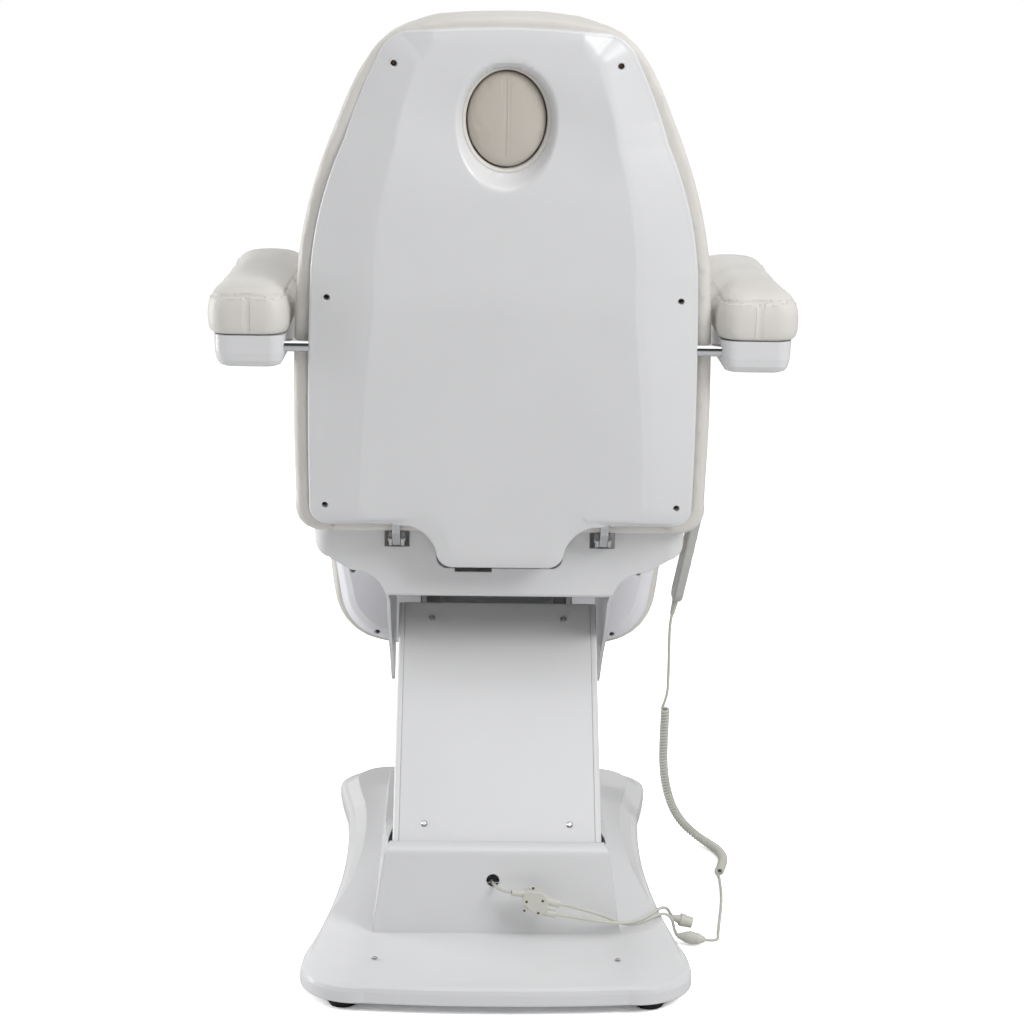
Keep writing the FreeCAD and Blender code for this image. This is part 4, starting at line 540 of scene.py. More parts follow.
def draw_in(piece, line, depth, reach):
    """Sinks the surface along a line: a sewn seam or a channel."""
    points, _ = on_surface(piece, dense(line, 0.002))
    finder = KDTree(len(points))
    for index, point in enumerate(points):
        finder.insert(point, index)
    finder.balance()
    mesh = piece.data
    places = corners_of(mesh)
    normals = np.array([vertex.normal for vertex in mesh.vertices])
    low, high = points.min(0) - 4 * reach, points.max(0) + 4 * reach
    near = np.nonzero(((places > low) & (places < high)).all(1))[0]
    gap = np.array([finder.find(places[i])[2] for i in near])
    push = depth * np.exp(-(gap / reach) ** 2)
    places[near] -= normals[near] * push[:, None]
    place_corners(mesh, places)


STITCHES = {}


def sew(piece, line, offset=0.0, pitch=0.0045, length=0.0032, radius=0.00042):
    """A row of stitches beside a line on the piece, as small rounded bars."""
    points, normals = on_surface(piece, dense(line, pitch / 6))
    ways = np.gradient(points, axis=0)
    ways /= np.maximum(np.linalg.norm(ways, axis=1), 1e-9)[:, None]
    across = np.cross(ways, normals)
    run = run_of(points)
    count = int(run[-1] / pitch)
    verts, faces = STITCHES.setdefault(piece.name, ([], []))
    for number in range(count):
        spot = int(np.searchsorted(run, (number + 0.5) * pitch))
        spot = min(spot, len(points) - 1)
        centre = points[spot] + across[spot] * offset
        base = len(verts)
        for end, swell_ in ((-0.5, 0.35), (-0.38, 1.0), (0.38, 1.0), (0.5, 0.35)):
            for side in range(6):
                angle = math.pi / 3 * side
                ring = across[spot] * math.cos(angle) + normals[spot] * math.sin(angle)
                verts.append(centre + ways[spot] * end * length + ring * radius * swell_
                             + normals[spot] * radius * 0.2)
        for level in range(3):
            for side in range(6):
                a, b = base + level * 6 + side, base + level * 6 + (side + 1) % 6
                faces.append((a, b, b + 6, a + 6))
        faces.append(tuple(base + s for s in range(5, -1, -1)))
        faces.append(tuple(base + 18 + s for s in range(6)))


def finish_stitches(piece, body, finish):
    """Joins the piece's stitches into one mesh that moves with it."""
    verts, faces = STITCHES.pop(piece.name)
    mesh = bpy.data.meshes.new(piece.name + "_stitches")
    mesh.from_pydata([tuple(v) for v in verts], [], faces)
    mesh.materials.append(finish)
    mesh.shade_smooth()
    made = placed(piece.name + "_stitches", mesh)
    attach(made, body)
    return made


stitch_thread = plastic("stitch_thread", (0.80, 0.775, 0.735), 0.6, 2500.0, 0.0001)
print("soft tools ready")

# %% [markdown]
# The back cushion is a deep foam block in a sewn cover. Its outline comes from the drawing, its
# front crowns, an oval opening goes through it, and a rounded border wraps the rear shell's rim.

# %% Back cushion


def back_level(behind, inset, share=0.0, centre=413.0):
    """The back outline drawn in by a distance. The share tells how far up the rear border it is."""
    ring = []
    for x, u in back_ring:
        border = 12.5 * min(1.0, max(0.2, (700 - u) / 260))
        ring.append(leaned(x * (1 - inset / 317), behind + share * border,
                           centre + (u - centre) * (1 - inset / 398)))
    return ring


OVAL_MIDDLE = 660.0


def oval_ring(half_x, half_u, behind, count=96, middle=OVAL_MIDDLE, across=0.0):
    turns = np.linspace(0, 2 * math.pi, count, endpoint=False)
    return [leaned(across + half_x * math.cos(a), behind, middle + half_u * math.sin(a))
            for a in turns]


def cut_away(piece, cutter, solver="EXACT"):
    """Takes the cutter's form out of the piece."""
    take = piece.modifiers.new("opening", "BOOLEAN")
    take.operation, take.solver, take.object = "DIFFERENCE", solver, cutter
    settle(piece)
    bpy.data.objects.remove(cutter)


levels = [(-1, 44), (-1, 25), (-1, 23, 0.4), (-1, 21, 0.8), (-1, 16, 1.0), (-1, 9, 0.96),
          (-1, 4, 0.7), (-1, 1.5, 0.3), (-8, 0.5), (-20, 0), (-50, 0), (-70, 2), (-82, 9),
          (-90, 26), (-95, 62), (-96.5, 120), (-97, 180), (-97, 260), (-97, 330)]
back_pad = skin("back_pad", [back_level(*level) for level in levels], white_leather)
opening = skin("opening", [oval_ring(61, 74, y) for y in (-140, 20)], white_leather)
cut_away(back_pad, opening)
rest_plane = np.array(leaned(0, -6, 0))
behind_way = np.array([0, math.cos(LEAN), -math.sin(LEAN)])
swell(back_pad, 0.006, 0.008, held=lambda p: (p - rest_plane) @ behind_way > 0, pressure=4.0)
refine(back_pad)
front_seam = back_level(-84, 4)
front_seam.append(front_seam[0])
draw_in(back_pad, front_seam, 0.0030, 0.0032)
for side in (-1, 1):
    corner_seam = [leaned(side * 262, 16, 30)] + [leaned(side * 262, y, 9) for y in
                                                  (14, -2, -40, -84)]
    draw_in(back_pad, corner_seam, 0.0022, 0.0026)
    for offset in (-0.0035, 0.0035):
        sew(back_pad, corner_seam, offset)
for offset in (-0.0038, 0.0038):
    sew(back_pad, front_seam, offset)
hole_seam = oval_ring(72, 85, -97)
hole_seam.append(hole_seam[0])
draw_in(back_pad, hole_seam, 0.0016, 0.0026)
sew(back_pad, hole_seam)
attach(back_pad, "backrest")
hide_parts("back_cushion")
finish_stitches(back_pad, "backrest", stitch_thread)
print("back cushion", len(back_pad.data.vertices), "points")

# %% [markdown]
# Behind the cushion its leather comes through the shell as a soft round lip about the opening.

# %% Lip of the opening
LIP_PROFILE = [(62, -6), (59.5, -2), (59, 4), (60, 8), (62, 10.5), (64.5, 11), (67, 9), (68, 4),
               (67, -2), (62, -6)]
lip_rings = [oval_ring(half, half + 13, y, 120) for half, y in LIP_PROFILE]
opening_lip = skin("opening_lip", lip_rings, white_leather, close=(False, False))
opening_lip.modifiers.new("weld", "WELD")
refine(opening_lip)
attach(opening_lip, "backrest")
print("opening lip", len(opening_lip.data.vertices), "points")

# %% [markdown]
# The insert of the face opening is a small firm pad in darker cloth-backed leather. Its rear shows
# through the shell's funnel, with a flat felled seam and two rows of stitches down its middle.

# %% Face insert
PLUG_X, PLUG_U = 58.2, 71.2
PLUG_LEVELS = [(-102, 32), (-101, 20), (-97, 8), (-88, 1), (-60, -2.3), (-20, -2.3), (-9, 0.2),
               (2, 0.6), (9, 4), (12.5, 13), (14, 30)]
plug_rings = [oval_ring(PLUG_X - draw, PLUG_U - draw, y) for y, draw in PLUG_LEVELS]
face_insert = skin("face_insert", plug_rings, plug_leather)
swell(face_insert, 0.004, 0.003, pressure=2.0)
refine(face_insert)
SEAM_X, SEAM_UP = 1.5, (606, 620, 640, 664, 688, 708, 722)
draw_in(face_insert, [leaned(SEAM_X, 25, u) for u in SEAM_UP], 0.0014, 0.0016)
for offset in (-5.5, 5.5):
    beside = [leaned(SEAM_X + offset, 25, u) for u in SEAM_UP]
    draw_in(face_insert, beside, 0.0008, 0.0012)
    sew(face_insert, beside, pitch=0.0036, length=0.0026)
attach(face_insert, "face_plug")
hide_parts("face_plug")
finish_stitches(face_insert, "face_plug", stitch_thread)
print("face insert", len(face_insert.data.vertices), "points")

# %% [markdown]
# The rear shell is one vacuum-formed skin. Its sides stand straight behind the cushion, then slope
# to a soft crease, and the broad rear face bends once across its middle. It is set out as rings
# that run from the rim to the middle, and a smooth minimum of the slopes rounds every crease.

# %% Rear shell: the drawing
RIM_HALF = [(0, -33), (76, -33), ((88, -28), (98, -13)), ((112, 18), (142, 36)), (264, 36),
            ((285, 43), (294, 66)), ((293.5, 250), (287, 440)), ((270, 538), (237, 628)),
            ((213, 696), (188, 750)), ((170, 775), (138, 787)), ((69, 792), (0, 794))]
AIM_HALF = [(0, -20), (64, -20), ((74, -17), (82, -4)), ((98, 34), (128, 54)), (168, 52),
            ((184, 58), (190, 86)), ((190, 250), (181, 425)), ((150, 530), (104, 622)),
            ((74, 680), (48, 714)), ((36, 727), (24, 733)), ((12, 735), (0, 736))]
RIM_FOOT, TONGUE_SIDE = 36.0, 142.0
SHELL_COUNT, OVAL_X, OVAL_U = 840, 65.0, 78.0
CREASE_END, CORNER_RUN, RIM_TOP = 108, 80, 700


def whole_line(half):
    line = drawn(half, 40, 40)
    return np.array(line + [(-x, u) for x, u in reversed(line[1:-1])] + [line[0]])


rim_line, aim_line = whole_line(RIM_HALF), whole_line(AIM_HALF)
rim = even_points(rim_line, SHELL_COUNT)
rim_run = run_of(rim_line)
spots = np.linspace(0, rim_run[-1], SHELL_COUNT, endpoint=False)
aim = np.stack([np.interp(spots, rim_run, column) for column in aim_line.T], 1)


def soft_min(a, b, width):
    near = np.maximum(width - np.abs(a - b), 0) / width
    return np.minimum(a, b) - near * near * width / 4


def rear_face(u):
    """How far the rear face stands behind the hinge line at a height."""
    lower = 47 + 15 * (u - 30) / 370
    upper = 62 - 43 * (u - 400) / 400
    return soft_min(lower, upper, 4.0)


def funnel(x, u):
    """The dish round the face opening, as a depth that rises away from the oval."""
    q = np.sqrt((x / OVAL_X) ** 2 + ((u - OVAL_MIDDLE) / OVAL_U) ** 2)
    return 10.5 + np.maximum((q - 1) * 72, 0) * 2.1


crease_share = np.full(SHELL_COUNT, 0.7)
for _ in range(8):
    crease = rim + (aim - rim) * crease_share[:, None]
    crease_share = rear_face(crease[:, 1]) / 70
in_tongue = (rim[:, 1] < RIM_FOOT - 0.1) & (np.abs(rim[:, 0]) < TONGUE_SIDE + 1)
crease[in_tongue] = aim[in_tongue]
# The two side creases run straight on to the top rim, and between them the face reaches the rim.
out, high = np.abs(rim[:, 0]), rim[:, 1] > RIM_TOP
corner = np.clip((out - CREASE_END) / CORNER_RUN, 0, 1)
run_on = np.stack([np.sign(rim[:, 0]) * np.minimum(out, CREASE_END + 27 * corner),
                   np.minimum(rim[:, 1] - 5, 778 - 42 * corner)], 1)
near_top = np.clip((CREASE_END + CORNER_RUN - out) / 30, 0, 1) * high
crease = crease + (run_on - crease) * near_top[:, None]
flush = rear_face(rim[:, 1]) - 2.5
lip = 36 * np.clip((RIM_TOP - rim[:, 1]) / 260, 0.14, 1)
lip[in_tongue] = flush[in_tongue]
lip = lip + (flush - lip) * np.clip((CREASE_END + 44 - out) / 44, 0, 1) * high
blend = np.exp(-((out - TONGUE_SIDE) / 26) ** 2) * (np.abs(rim[:, 1] - RIM_FOOT) < 1)
lip = lip + (rear_face(RIM_FOOT) - 2.5 - lip) * blend * ~in_tongue
front = np.where(in_tongue, 4.0, 0.0)
along = np.roll(rim, -1, 0) - np.roll(rim, 1, 0)
inward = np.stack([-along[:, 1], along[:, 0]], 1)
inward /= np.linalg.norm(inward, axis=1)[:, None]
on_side = (crease[:, 0] > 1) & (crease[:, 1] > 90)
by_height = np.argsort(crease[on_side, 1])
crease_up, crease_out = crease[on_side, 1][by_height], crease[on_side, 0][by_height]


def dish(x, u):
    """The upper rear face is a little hollow between its two creases."""
    out = np.abs(x) / np.maximum(np.interp(u, crease_up, crease_out), 45)
    start, stop = np.clip((u - 540) / 110, 0, 1), np.clip((740 - u) / 90, 0, 1)
    fade = start * start * (3 - 2 * start) * stop * stop * (3 - 2 * stop)
    return 12.0 * fade * (1 - np.minimum(out, 1) ** 2)


print("shell rim", SHELL_COUNT, "points, lip", lip.min().round(1), "to", lip.max().round(1), "mm")

# %% Rear shell: the skin
EDGE = 4.5
shell_rings = []


def add_ring(at, y):
    shell_rings.append([leaned(*p) for p in np.stack([at[:, 0], y, at[:, 1]], 1)])


for share in (0, 0.5, 1):
    add_ring(rim, front + (lip - EDGE - front) * share)
for angle in np.radians((18, 36, 54, 72)):
    add_ring(rim + inward * EDGE * (1 - math.cos(angle)), lip - EDGE + EDGE * math.sin(angle))
edge = rim + inward * EDGE
slope_run = np.linalg.norm(crease - edge, axis=1)
middle = np.array((0.0, 400.0))
for share in list(np.linspace(0, 1, 22)) + list(np.linspace(1, 2, 70)[1:-1]):
    if share <= 1:
        at = edge + (crease - edge) * share
    else:
        at = crease + (middle - crease) * (share - 1)
    out = np.linalg.norm(at - edge, axis=1) if share <= 1 else slope_run * share * 1.2
    rise = (rear_face(crease[:, 1]) - lip) / np.maximum(slope_run, 1)
    slope = lip + rise * out + max(share - 1, 0) * 90
    height = soft_min(slope, rear_face(at[:, 1]) - dish(at[:, 0], at[:, 1]), 4.0)
    add_ring(at, soft_min(height, funnel(at[:, 0], at[:, 1]), 9.0))
rear_shell = skin("rear_shell", shell_rings, white_shell, close=(False, True))
if sum(face.normal.y * face.area for face in rear_shell.data.polygons) < 0:
    rear_shell.data.flip_normals()
wall = rear_shell.modifiers.new("wall", "SOLIDIFY")
wall.thickness, wall.offset = 0.003, -1
settle(rear_shell)
print("shell skin", len(rear_shell.data.vertices), "points")

# %% [markdown]
# The openings are cut at the end: the face oval, six screw pockets with a small countersink, the
# rod's two holes, the hinge slots and the slot of the back motor. Posts line the screw pockets.

# %% Rear shell: openings and posts
def disc_ring(x, u, radius, y):
    return oval_ring(radius, radius, y, 32, u, x)


def block_rings(x, y, u):
    return [[leaned(x[a], level, u[b]) for a, b in ((0, 0), (1, 0), (1, 1), (0, 1))]
            for level in y]


def side_disc(x, y, u, radius, count=32):
    turns = np.linspace(0, 2 * math.pi, count, endpoint=False)
    return [leaned(x, y + radius * math.cos(a), u + radius * math.sin(a)) for a in turns]


def shell_height(x, u):
    """The rear surface's place behind a point of the drawing, found by looking forward."""
    start, toward = Vector(leaned(x, 120, u)), Vector(leaned(x, 0, u)) - Vector(leaned(x, 120, u))
    hit = rear_shell.ray_cast(start, toward.normalized())
    return 120 - (hit[1] - start).length * 1000


SCREW_PLACES = [(164, 741, 5), (263, 399, 26), (270, 69, 24)]
screw_places = [(side * x, u, seat, shell_height(side * x, u))
                for x, u, seat in SCREW_PLACES for side in (-1, 1)]
cutters = [[oval_ring(OVAL_X, OVAL_U, y) for y in (-20, 30)]]
for x, u, seat, top in screw_places:
    cutters.append([disc_ring(x, u, 4.6, seat), disc_ring(x, u, 4.6, top - 0.8),
                    disc_ring(x, u, 5.6, top + 0.6), disc_ring(x, u, 5.6, top + 8)])
for side in (-1, 1):
    cutters.append([side_disc(side * x, 24, 319, 10.5) for x in (255, 330)])
    cutters.append(block_rings((side * 161 - 8, side * 161 + 8), (-4, 39), (8, 40)))
cutters.append(block_rings((41 - 17, 41 + 17), (-4, 37), (-40, -25)))
joined = bmesh.new()
for rings in cutters:
    part = skin("cut", rings, white_shell)
    joined.from_mesh(part.data)
    bpy.data.objects.remove(part)
cut_mesh = bpy.data.meshes.new("shell_cuts")
joined.to_mesh(cut_mesh)
joined.free()
cut_away(rear_shell, placed("shell_cuts", cut_mesh))
posts = bmesh.new()
posts.from_mesh(rear_shell.data)
for x, u, seat, top in screw_places:
    rings = [disc_ring(x, u, 4.6, seat - 1), disc_ring(x, u, 4.6, top - 1.6),
             disc_ring(x, u, 7.5, top - 1.8), disc_ring(x, u, 7.5, 0.3), disc_ring(x, u, 2, 0.3),
             disc_ring(x, u, 2, seat - 1)]
    made = [[posts.verts.new(place) for place in ring] for ring in rings]
    for level in range(len(made)):
        lower, upper = made[level], made[(level + 1) % len(made)]
        for i in range(32):
            j = (i + 1) % 32
            posts.faces.new((lower[i], lower[j], upper[j], upper[i]))
bmesh.ops.recalc_face_normals(posts, faces=posts.faces)
posts.to_mesh(rear_shell.data)
posts.free()
rear_shell.data.shade_smooth()
rear_shell.data.set_sharp_from_angle(angle=math.radians(38))
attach(rear_shell, "backrest")
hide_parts("back_shell")
print("rear shell", len(rear_shell.data.vertices), "points")

# %% [markdown]
# The plywood board that carries the cushion lies just inside the shell. Its edge keeps clear of the
# slopes, so it is drawn in further where the shell is shallow.

# %% Board in the back
depth_there = np.maximum(rear_face(crease[:, 1]) - lip, 1)
needed = np.clip((17.0 - lip) / depth_there, 9 / np.maximum(slope_run, 9), 1)
board_edge = edge + (crease - edge) * needed[:, None]
board_edge[in_tongue] = rim[in_tongue] * (0.86, 1.0)
board_edge[:, 1] = np.maximum(board_edge[:, 1], RIM_FOOT + 6)
board_rings = []
for y, draw in ((0.6, 1.0), (0.6, 0.997), (11.4, 0.997), (12.0, 0.994)):
    flat = middle + (board_edge[::4] - middle) * draw
    board_rings.append([leaned(x, y, u) for x, u in flat])
board = skin("back_plywood", board_rings[1:], board_wood)
cut_away(board, skin("hole", [oval_ring(69, 82, y) for y in (-5, 20)], board_wood))
board.data.shade_flat()
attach(board, "backrest")
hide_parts("back_board")
print("board", len(board.data.vertices), "points")

# %% [markdown]
# Each arm rest carries a long pad with a rounded rear end, wider than the moulded tray below it.
# One seam runs round it under the top, and a short one goes down the middle of its rear end.

# %% Arm rest pads


def rounded_ring(x, y, radius, z, count=200):
    """A rectangle with round corners at a height, in millimetres, as metres."""
    (left, right), (low, high) = x, y
    centres = [(right - radius, high - radius, 0), (left + radius, high - radius, 90),
               (left + radius, low + radius, 180), (right - radius, low + radius, 270)]
    corners = []
    for cx, cy, first in centres:
        for step in range(13):
            angle = math.radians(first + 90 * step / 12)
            corners.append((cx + radius * math.cos(angle), cy + radius * math.sin(angle)))
    flat = even_points(corners + [corners[0]], count)
    return [(px / 1000, py / 1000, z / 1000) for px, py in flat]


def arm_ring(inset, z):
    return rounded_ring((322 + inset, 441.5 - inset), (-267 + inset, 223 - inset),
                        34 - inset * 0.4, z)


def mirrored(piece, name):
    """A copy on the chair's other side."""
    mesh = piece.data.copy()
    places = corners_of(mesh)
    places[:, 0] *= -1
    place_corners(mesh, places)
    mesh.flip_normals()
    return placed(name, mesh)


def both_sides(pad, body, node):
    stitches = finish_stitches(pad, body + "left", stitch_thread)
    right = mirrored(pad, pad.name.replace("left", "right"))
    right_stitches = mirrored(stitches, right.name + "_stitches")
    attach(right_stitches, body + "right")
    for piece, side in ((pad, "left"), (right, "right")):
        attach(piece, body + side)
        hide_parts(node + side)


ARM_LEVELS = [(7, 970.6), (2, 972.5), (-1, 984), (-1.5, 998), (-1, 1012), (2, 1025), (8, 1035),
              (17, 1042), (29, 1045.5), (44, 1047)]
arm_pad = skin("arm_pad_left", [arm_ring(inset, z) for inset, z in ARM_LEVELS], white_leather)
swell(arm_pad, 0.005, 0.005, held=lambda p: p[:, 2] < 0.9745, pressure=3.5)
refine(arm_pad)
round_seam = arm_ring(2, 1030)
round_seam.append(round_seam[0])
draw_in(arm_pad, round_seam, 0.0016, 0.0019)
for offset in (-0.0022, 0.0022):
    across = 0.3815 + offset
    end_seam = [(across, 0.230, 1.034), (across, 0.230, 1.000), (across, 0.228, 0.972)]
    draw_in(arm_pad, end_seam, 0.0017, 0.0014)
    sew(arm_pad, end_seam, offset)
for offset in (-0.0034, 0.0034):
    sew(arm_pad, round_seam, offset)
both_sides(arm_pad, "armrest_", "armrest_pad_")
print("arm pads", len(arm_pad.data.vertices), "points each")

# %% [markdown]
# The seat cushion lies flat on its board. A seam runs round under its crown, and short seams mark
# where its side strips join at the front corners.

# %% Seat cushion


def seat_ring(inset, z):
    return rounded_ring((-310 + inset, 310 - inset), (-402 + inset, 24 - inset),
                        46 - inset * 0.3, z, 320)


SEAT_LEVELS = [(9, 653), (5, 656), (3, 668), (2.5, 690), (4, 710), (9, 723), (20, 731), (46, 735),
               (90, 736), (140, 736), (180, 736)]
seat_pad = skin("seat_pad", [seat_ring(inset, z) for inset, z in SEAT_LEVELS], white_leather)
swell(seat_pad, 0.006, 0.008, held=lambda p: p[:, 2] < 0.6575, pressure=4.0)
refine(seat_pad)
crown_seam = seat_ring(3, 712)
crown_seam.append(crown_seam[0])
draw_in(seat_pad, crown_seam, 0.0030, 0.0032)
for offset in (-0.0038, 0.0038):
    sew(seat_pad, crown_seam, offset)
for side in (-1, 1):
    strip_seam = [(side * 0.250, -0.410, z) for z in (0.655, 0.685, 0.712)]
    draw_in(seat_pad, strip_seam, 0.0020, 0.0026)
    for offset in (-0.0035, 0.0035):
        sew(seat_pad, strip_seam, offset)
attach(seat_pad, "carrier")
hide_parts("seat_cushion")
finish_stitches(seat_pad, "carrier", stitch_thread)
print("seat cushion", len(seat_pad.data.vertices), "points")

# %% [markdown]
# The leg rest is split. Each half hangs from the seat's front edge and has its own cushion,
# straight along the gap and round at its outer lower corner.

# %% Leg cushions


def leg_ring(inset, y, top=582.0, bottom=314.0, corner=24.0, count=220):
    """One leg cushion's outline seen from behind, drawn in, at a place from front to rear."""
    low, inner, high = bottom + inset, 5 + inset, top - inset * 0.7
    steps = [(inner, high), (inner, low + 78), ((inner + 14, low + 28), (inner + 62, low + 8)),
             ((152 - inset * 0.3, low), (222 - inset * 0.6, low + 12)),
             ((261 - inset * 0.8, low + 38), (284 - inset, low + 84)),
             (300 - inset, high - corner),
             ((300 - inset - corner * 0.29, high - corner * 0.29), (300 - inset - corner, high))]
    flat = even_points(drawn(steps) + [steps[0]], count)
    return [(px / 1000, y / 1000, pz / 1000) for px, pz in flat]


LEG_LEVELS = [(5, -389), (0, -391), (-3, -402), (-4, -425), (-1, -450), (8, -463), (24, -471),
              (50, -475), (80, -476), (100, -476)]
leg_pad = skin("leg_pad_left", [leg_ring(inset, y) for inset, y in LEG_LEVELS], white_leather)
swell(leg_pad, 0.005, 0.005, held=lambda p: p[:, 1] > -0.3935, pressure=3.5)
refine(leg_pad)
leg_seam = leg_ring(0, -452)
leg_seam.append(leg_seam[0])
draw_in(leg_pad, leg_seam, 0.0024, 0.0028)
for offset in (-0.0036, 0.0036):
    sew(leg_pad, leg_seam, offset)
both_sides(leg_pad, "leg_", "leg_cushion_")
print("leg cushions", len(leg_pad.data.vertices), "points each")

# %% [markdown]
# A cord is drawn as it lies: one smooth curve with a round bevel. Its control points repeat the
# CAD route. Order 3 and the end rule are set last, because they only hold once the points exist.

# %% Cords
CORD_RADIUS = 0.0026


def smooth_line(name, points, radius=0.0, steps=12):
    """An open NURBS curve of order 3 through the route's control points, in metres."""
    data = bpy.data.curves.new(name, "CURVE")
    data.dimensions = "3D"
    spline = data.splines.new("NURBS")
    spline.points.add(len(points) - 1)
    for point, at in zip(spline.points, points):
        point.co = (*at, 1)
    spline.order_u = 3
    spline.use_endpoint_u = True
    spline.resolution_u = steps
    data.bevel_depth = radius
    data.bevel_resolution = 5
    data.use_fill_caps = True
    return placed(name, data)


def followed(points, steps=12):
    """The places along a route's smooth curve, as Blender draws them."""
    line = smooth_line("route", points, 0.0, steps)
    bpy.context.view_layer.update()
    graph = bpy.context.evaluated_depsgraph_get()
    mesh = bpy.data.meshes.new_from_object(line.evaluated_get(graph))
    places = np.array([vertex.co for vertex in mesh.vertices])
    bpy.data.objects.remove(line)
    return places


def length_of(places):
    return float(np.linalg.norm(np.diff(places, axis=0), axis=1).sum())


def metres(points):
    return [tuple(value / 1000 for value in point) for point in points]


OUTLET = metres([(8, 302, 142.6), (5, 318, 142.6), (-2, 333, 142.9), (-11.5, 345.5, 143.6),
                 (-22.3, 352.5, 144.6)])
BRANCH_A = metres([(-95.4, 352.5, 126.6), (-106, 352.5, 124.2), (-124, 352, 119.5),
                   (-148, 349, 111.5), (-170, 341.5, 100.5), (-189, 331.5, 87),
                   (-206, 314.5, 77.5), (-222, 296, 73), (-237, 279, 71.5), (-251, 263, 71),
                   (-264, 248, 67.8), (-274.5, 236.5, 58.5), (-280, 229, 47),
                   (-282.5, 222.5, 35.5), (-285, 217.3, 25), (-290, 213.5, 15.5)])
BRANCH_B = metres([(-89.8, 352.5, 109.5), (-102, 352.5, 107.1), (-124, 353, 104),
                   (-150, 353, 100), (-178, 347.5, 94), (-203, 330, 87), (-222, 303, 80),
                   (-240, 273, 76.5), (-254, 246, 73.5), (-265.5, 224, 68), (-273.5, 209.5, 59),
                   (-278, 201.5, 48.5), (-283, 198.5, 40)])
TAIL = metres([(-334, 219.5, 11), (-342.9, 220.9, 10.6), (-351, 217, 9.8), (-355.6, 208.7, 8.6),
               (-357, 194.7, 6.8), (-359.5, 173, 4.6), (-364, 142, 3.2), (-370, 102, 2.8),
               (-376.5, 57, 2.7), (-381.5, 12, 2.8), (-383.5, -26, 3.6), (-384.5, -49, 5.6)])
LEAD_DOWN = metres([(-297.8, -180.2, 398.3), (-298.2, -180.8, 362.9), (-298.5, -181.4, 322.5),
                    (-298, -182.4, 290.1)])
CURLS = metres([(-295.3, -186, 262.9), (-294.3, -190, 210.3), (-295, -194, 159.2),
                (-301.5, -199, 115), (-313.9, -204, 75.7), (-333.3, -209, 44),
                (-357.6, -209, 22), (-381, -195, 10.5), (-396, -169, 8.6), (-400, -134, 8.6),
                (-394, -100, 8.6), (-386, -72, 8.6)])
HANDSET_FOOT, HANDSET_TILT = Vector((-0.3065, -0.180, 0.461)), math.radians(11.2)


def below_handset(distance):
    """A point on the handset's tilted axis, below its lower end."""
    return (HANDSET_FOOT + Vector((math.sin(HANDSET_TILT), 0, -math.cos(HANDSET_TILT)))
            * distance)[:]


# %% [markdown]
# The curly part is one long helix. Its axis is the hanging route, read back from its own smooth
# curve. A frame is carried along that axis without twisting, and a loop winds the turns on it.

# %% The curly cord's helix
CURL_TURNS, CURL_RADIUS, POINTS_A_TURN = 76, 0.0055, 12


def carried_frames(places, count):
    """Even places along a line, each with a side direction that does not twist."""
    even = even_points(places, count, False)
    ways = np.gradient(even, axis=0)
    ways /= np.linalg.norm(ways, axis=1)[:, None]
    side = np.cross(ways[0], (0, 1, 0))
    sides = []
    for way in ways:
        side = side - way * side.dot(way)
        side = side / np.linalg.norm(side)
        sides.append(side)
    return even, ways, np.array(sides)


axis, ways, sides = carried_frames(followed(CURLS, 16), CURL_TURNS * POINTS_A_TURN + 1)
helix = []
for index, (centre, way, side) in enumerate(zip(axis, ways, sides)):
    angle = 2 * math.pi * index / POINTS_A_TURN
    spoke = side * math.cos(angle) + np.cross(way, side) * math.sin(angle)
    helix.append(tuple(centre + spoke * CURL_RADIUS / math.cos(math.pi / POINTS_A_TURN)))
print("curls", CURL_TURNS, "pitch", round(length_of(axis) / CURL_TURNS * 1000, 2), "mm")


# %% Lay the cords
def lay_cord(name, cad_nodes, points, far_end, pieces=(), steps=12, facets=5, **words):
    line = smooth_line(name, points, CORD_RADIUS, steps)
    line.data.bevel_resolution = facets
    line.data.materials.append(cord_plastic)
    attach(line, "base")
    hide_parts(*cad_nodes)
    length = length_of(followed(points, steps))
    print(name, round(length, 3), "m")
    return line


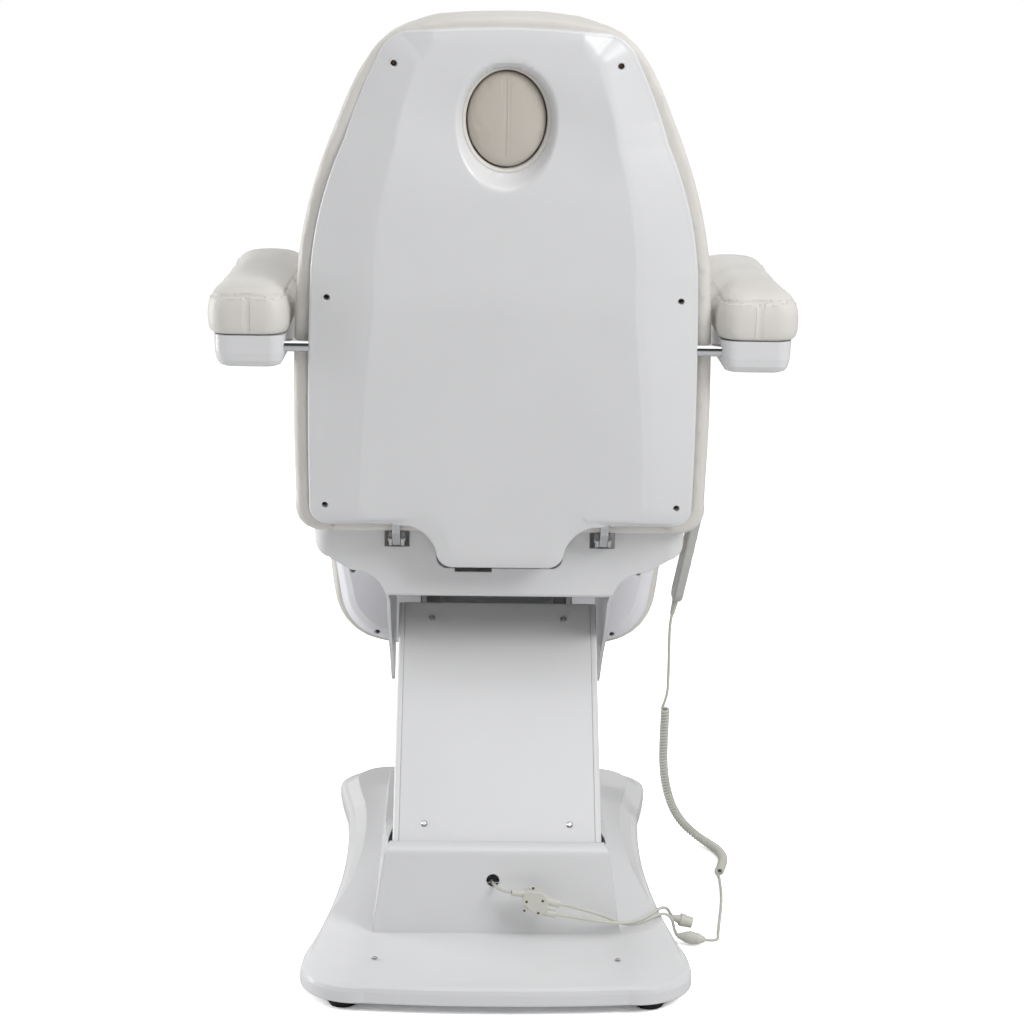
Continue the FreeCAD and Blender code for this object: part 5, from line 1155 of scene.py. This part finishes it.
lay_cord("lead_from_outlet", ["outlet_lead"], OUTLET, "connector", ["splitter_block"])
lay_cord("lead_branch_a", ["branch_lead_a"], BRANCH_A, "connector", ["inline_connector"])
lay_cord("lead_branch_b", ["branch_lead_b"], BRANCH_B, "connector", ["spare_socket"])
HAND_CORD = TAIL + helix[::-1] + LEAD_DOWN[::-1] + [below_handset(0.040), below_handset(0.028)]
lay_cord("handset_cord", ["hand_tail", "curly_cord", "hand_lead"], HAND_CORD, "object",
         steps=4, facets=3, stiffness="limp", lay="hanging")

# %% [markdown]
# The junction box is closed by small dark screws, three on its face and one in each lug. The
# handset's cord leaves it through a ribbed sleeve. Both are turned forms, drawn as rings.


# %% Turned details
def turned(name, at, way, profile, finish, count=28):
    """A round form on an axis, from pairs of distance and radius in metres."""
    at, way = Vector(at), Vector(way).normalized()
    side = way.orthogonal().normalized()
    other = way.cross(side)
    rings = [[(at + way * far + side * radius * math.cos(2 * math.pi * i / count)
               + other * radius * math.sin(2 * math.pi * i / count))[:] for i in range(count)]
             for far, radius in profile]
    made = skin(name, rings, finish)
    made.data.shade_smooth()
    return made


SCREW_HEAD = [(-0.0010, 0.0019), (0.0003, 0.0019), (0.0008, 0.0016), (0.0009, 0.0009),
              (0.0002, 0.0007), (0.0001, 0.0001)]
BLOCK = (-0.0588, 0.3615, 0.1320)
FACE_SCREWS = [(0.0138, 0.0, 0.0010), (-0.0108, 0.0, 0.0024), (-0.0042, 0.0, -0.0172),
               (0.0040, -0.0020, 0.0222), (0.0170, -0.0020, -0.0142)]
for number, place in enumerate(FACE_SCREWS):
    at = [a + b for a, b in zip(BLOCK, place)]
    screw = turned("block_screw_%d" % (number + 1), at, (0, 1, 0), SCREW_HEAD, bronze_screw)
    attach(screw, "base")
sleeve_profile = [(0.0, 0.0050), (0.0002, 0.0058)]
for rib in range(6):
    far, radius = 0.0006 + 0.0045 * rib, 0.0060 - 0.00030 * rib
    sleeve_profile += [(far, radius), (far + 0.0026, radius - 0.0002),
                       (far + 0.0029, radius - 0.0013), (far + 0.0042, radius - 0.0014)]
sleeve_profile += [(0.0280, 0.0036), (0.0284, 0.0028)]
sleeve = turned("strain_sleeve", below_handset(0.0), Vector(below_handset(1)) - HANDSET_FOOT,
                sleeve_profile, cord_plastic)
sleeve.data.set_sharp_from_angle(angle=math.radians(40))
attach(sleeve, "handset")
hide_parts("handset_strain_relief")
print(len(FACE_SCREWS), "block screws and a ribbed sleeve")
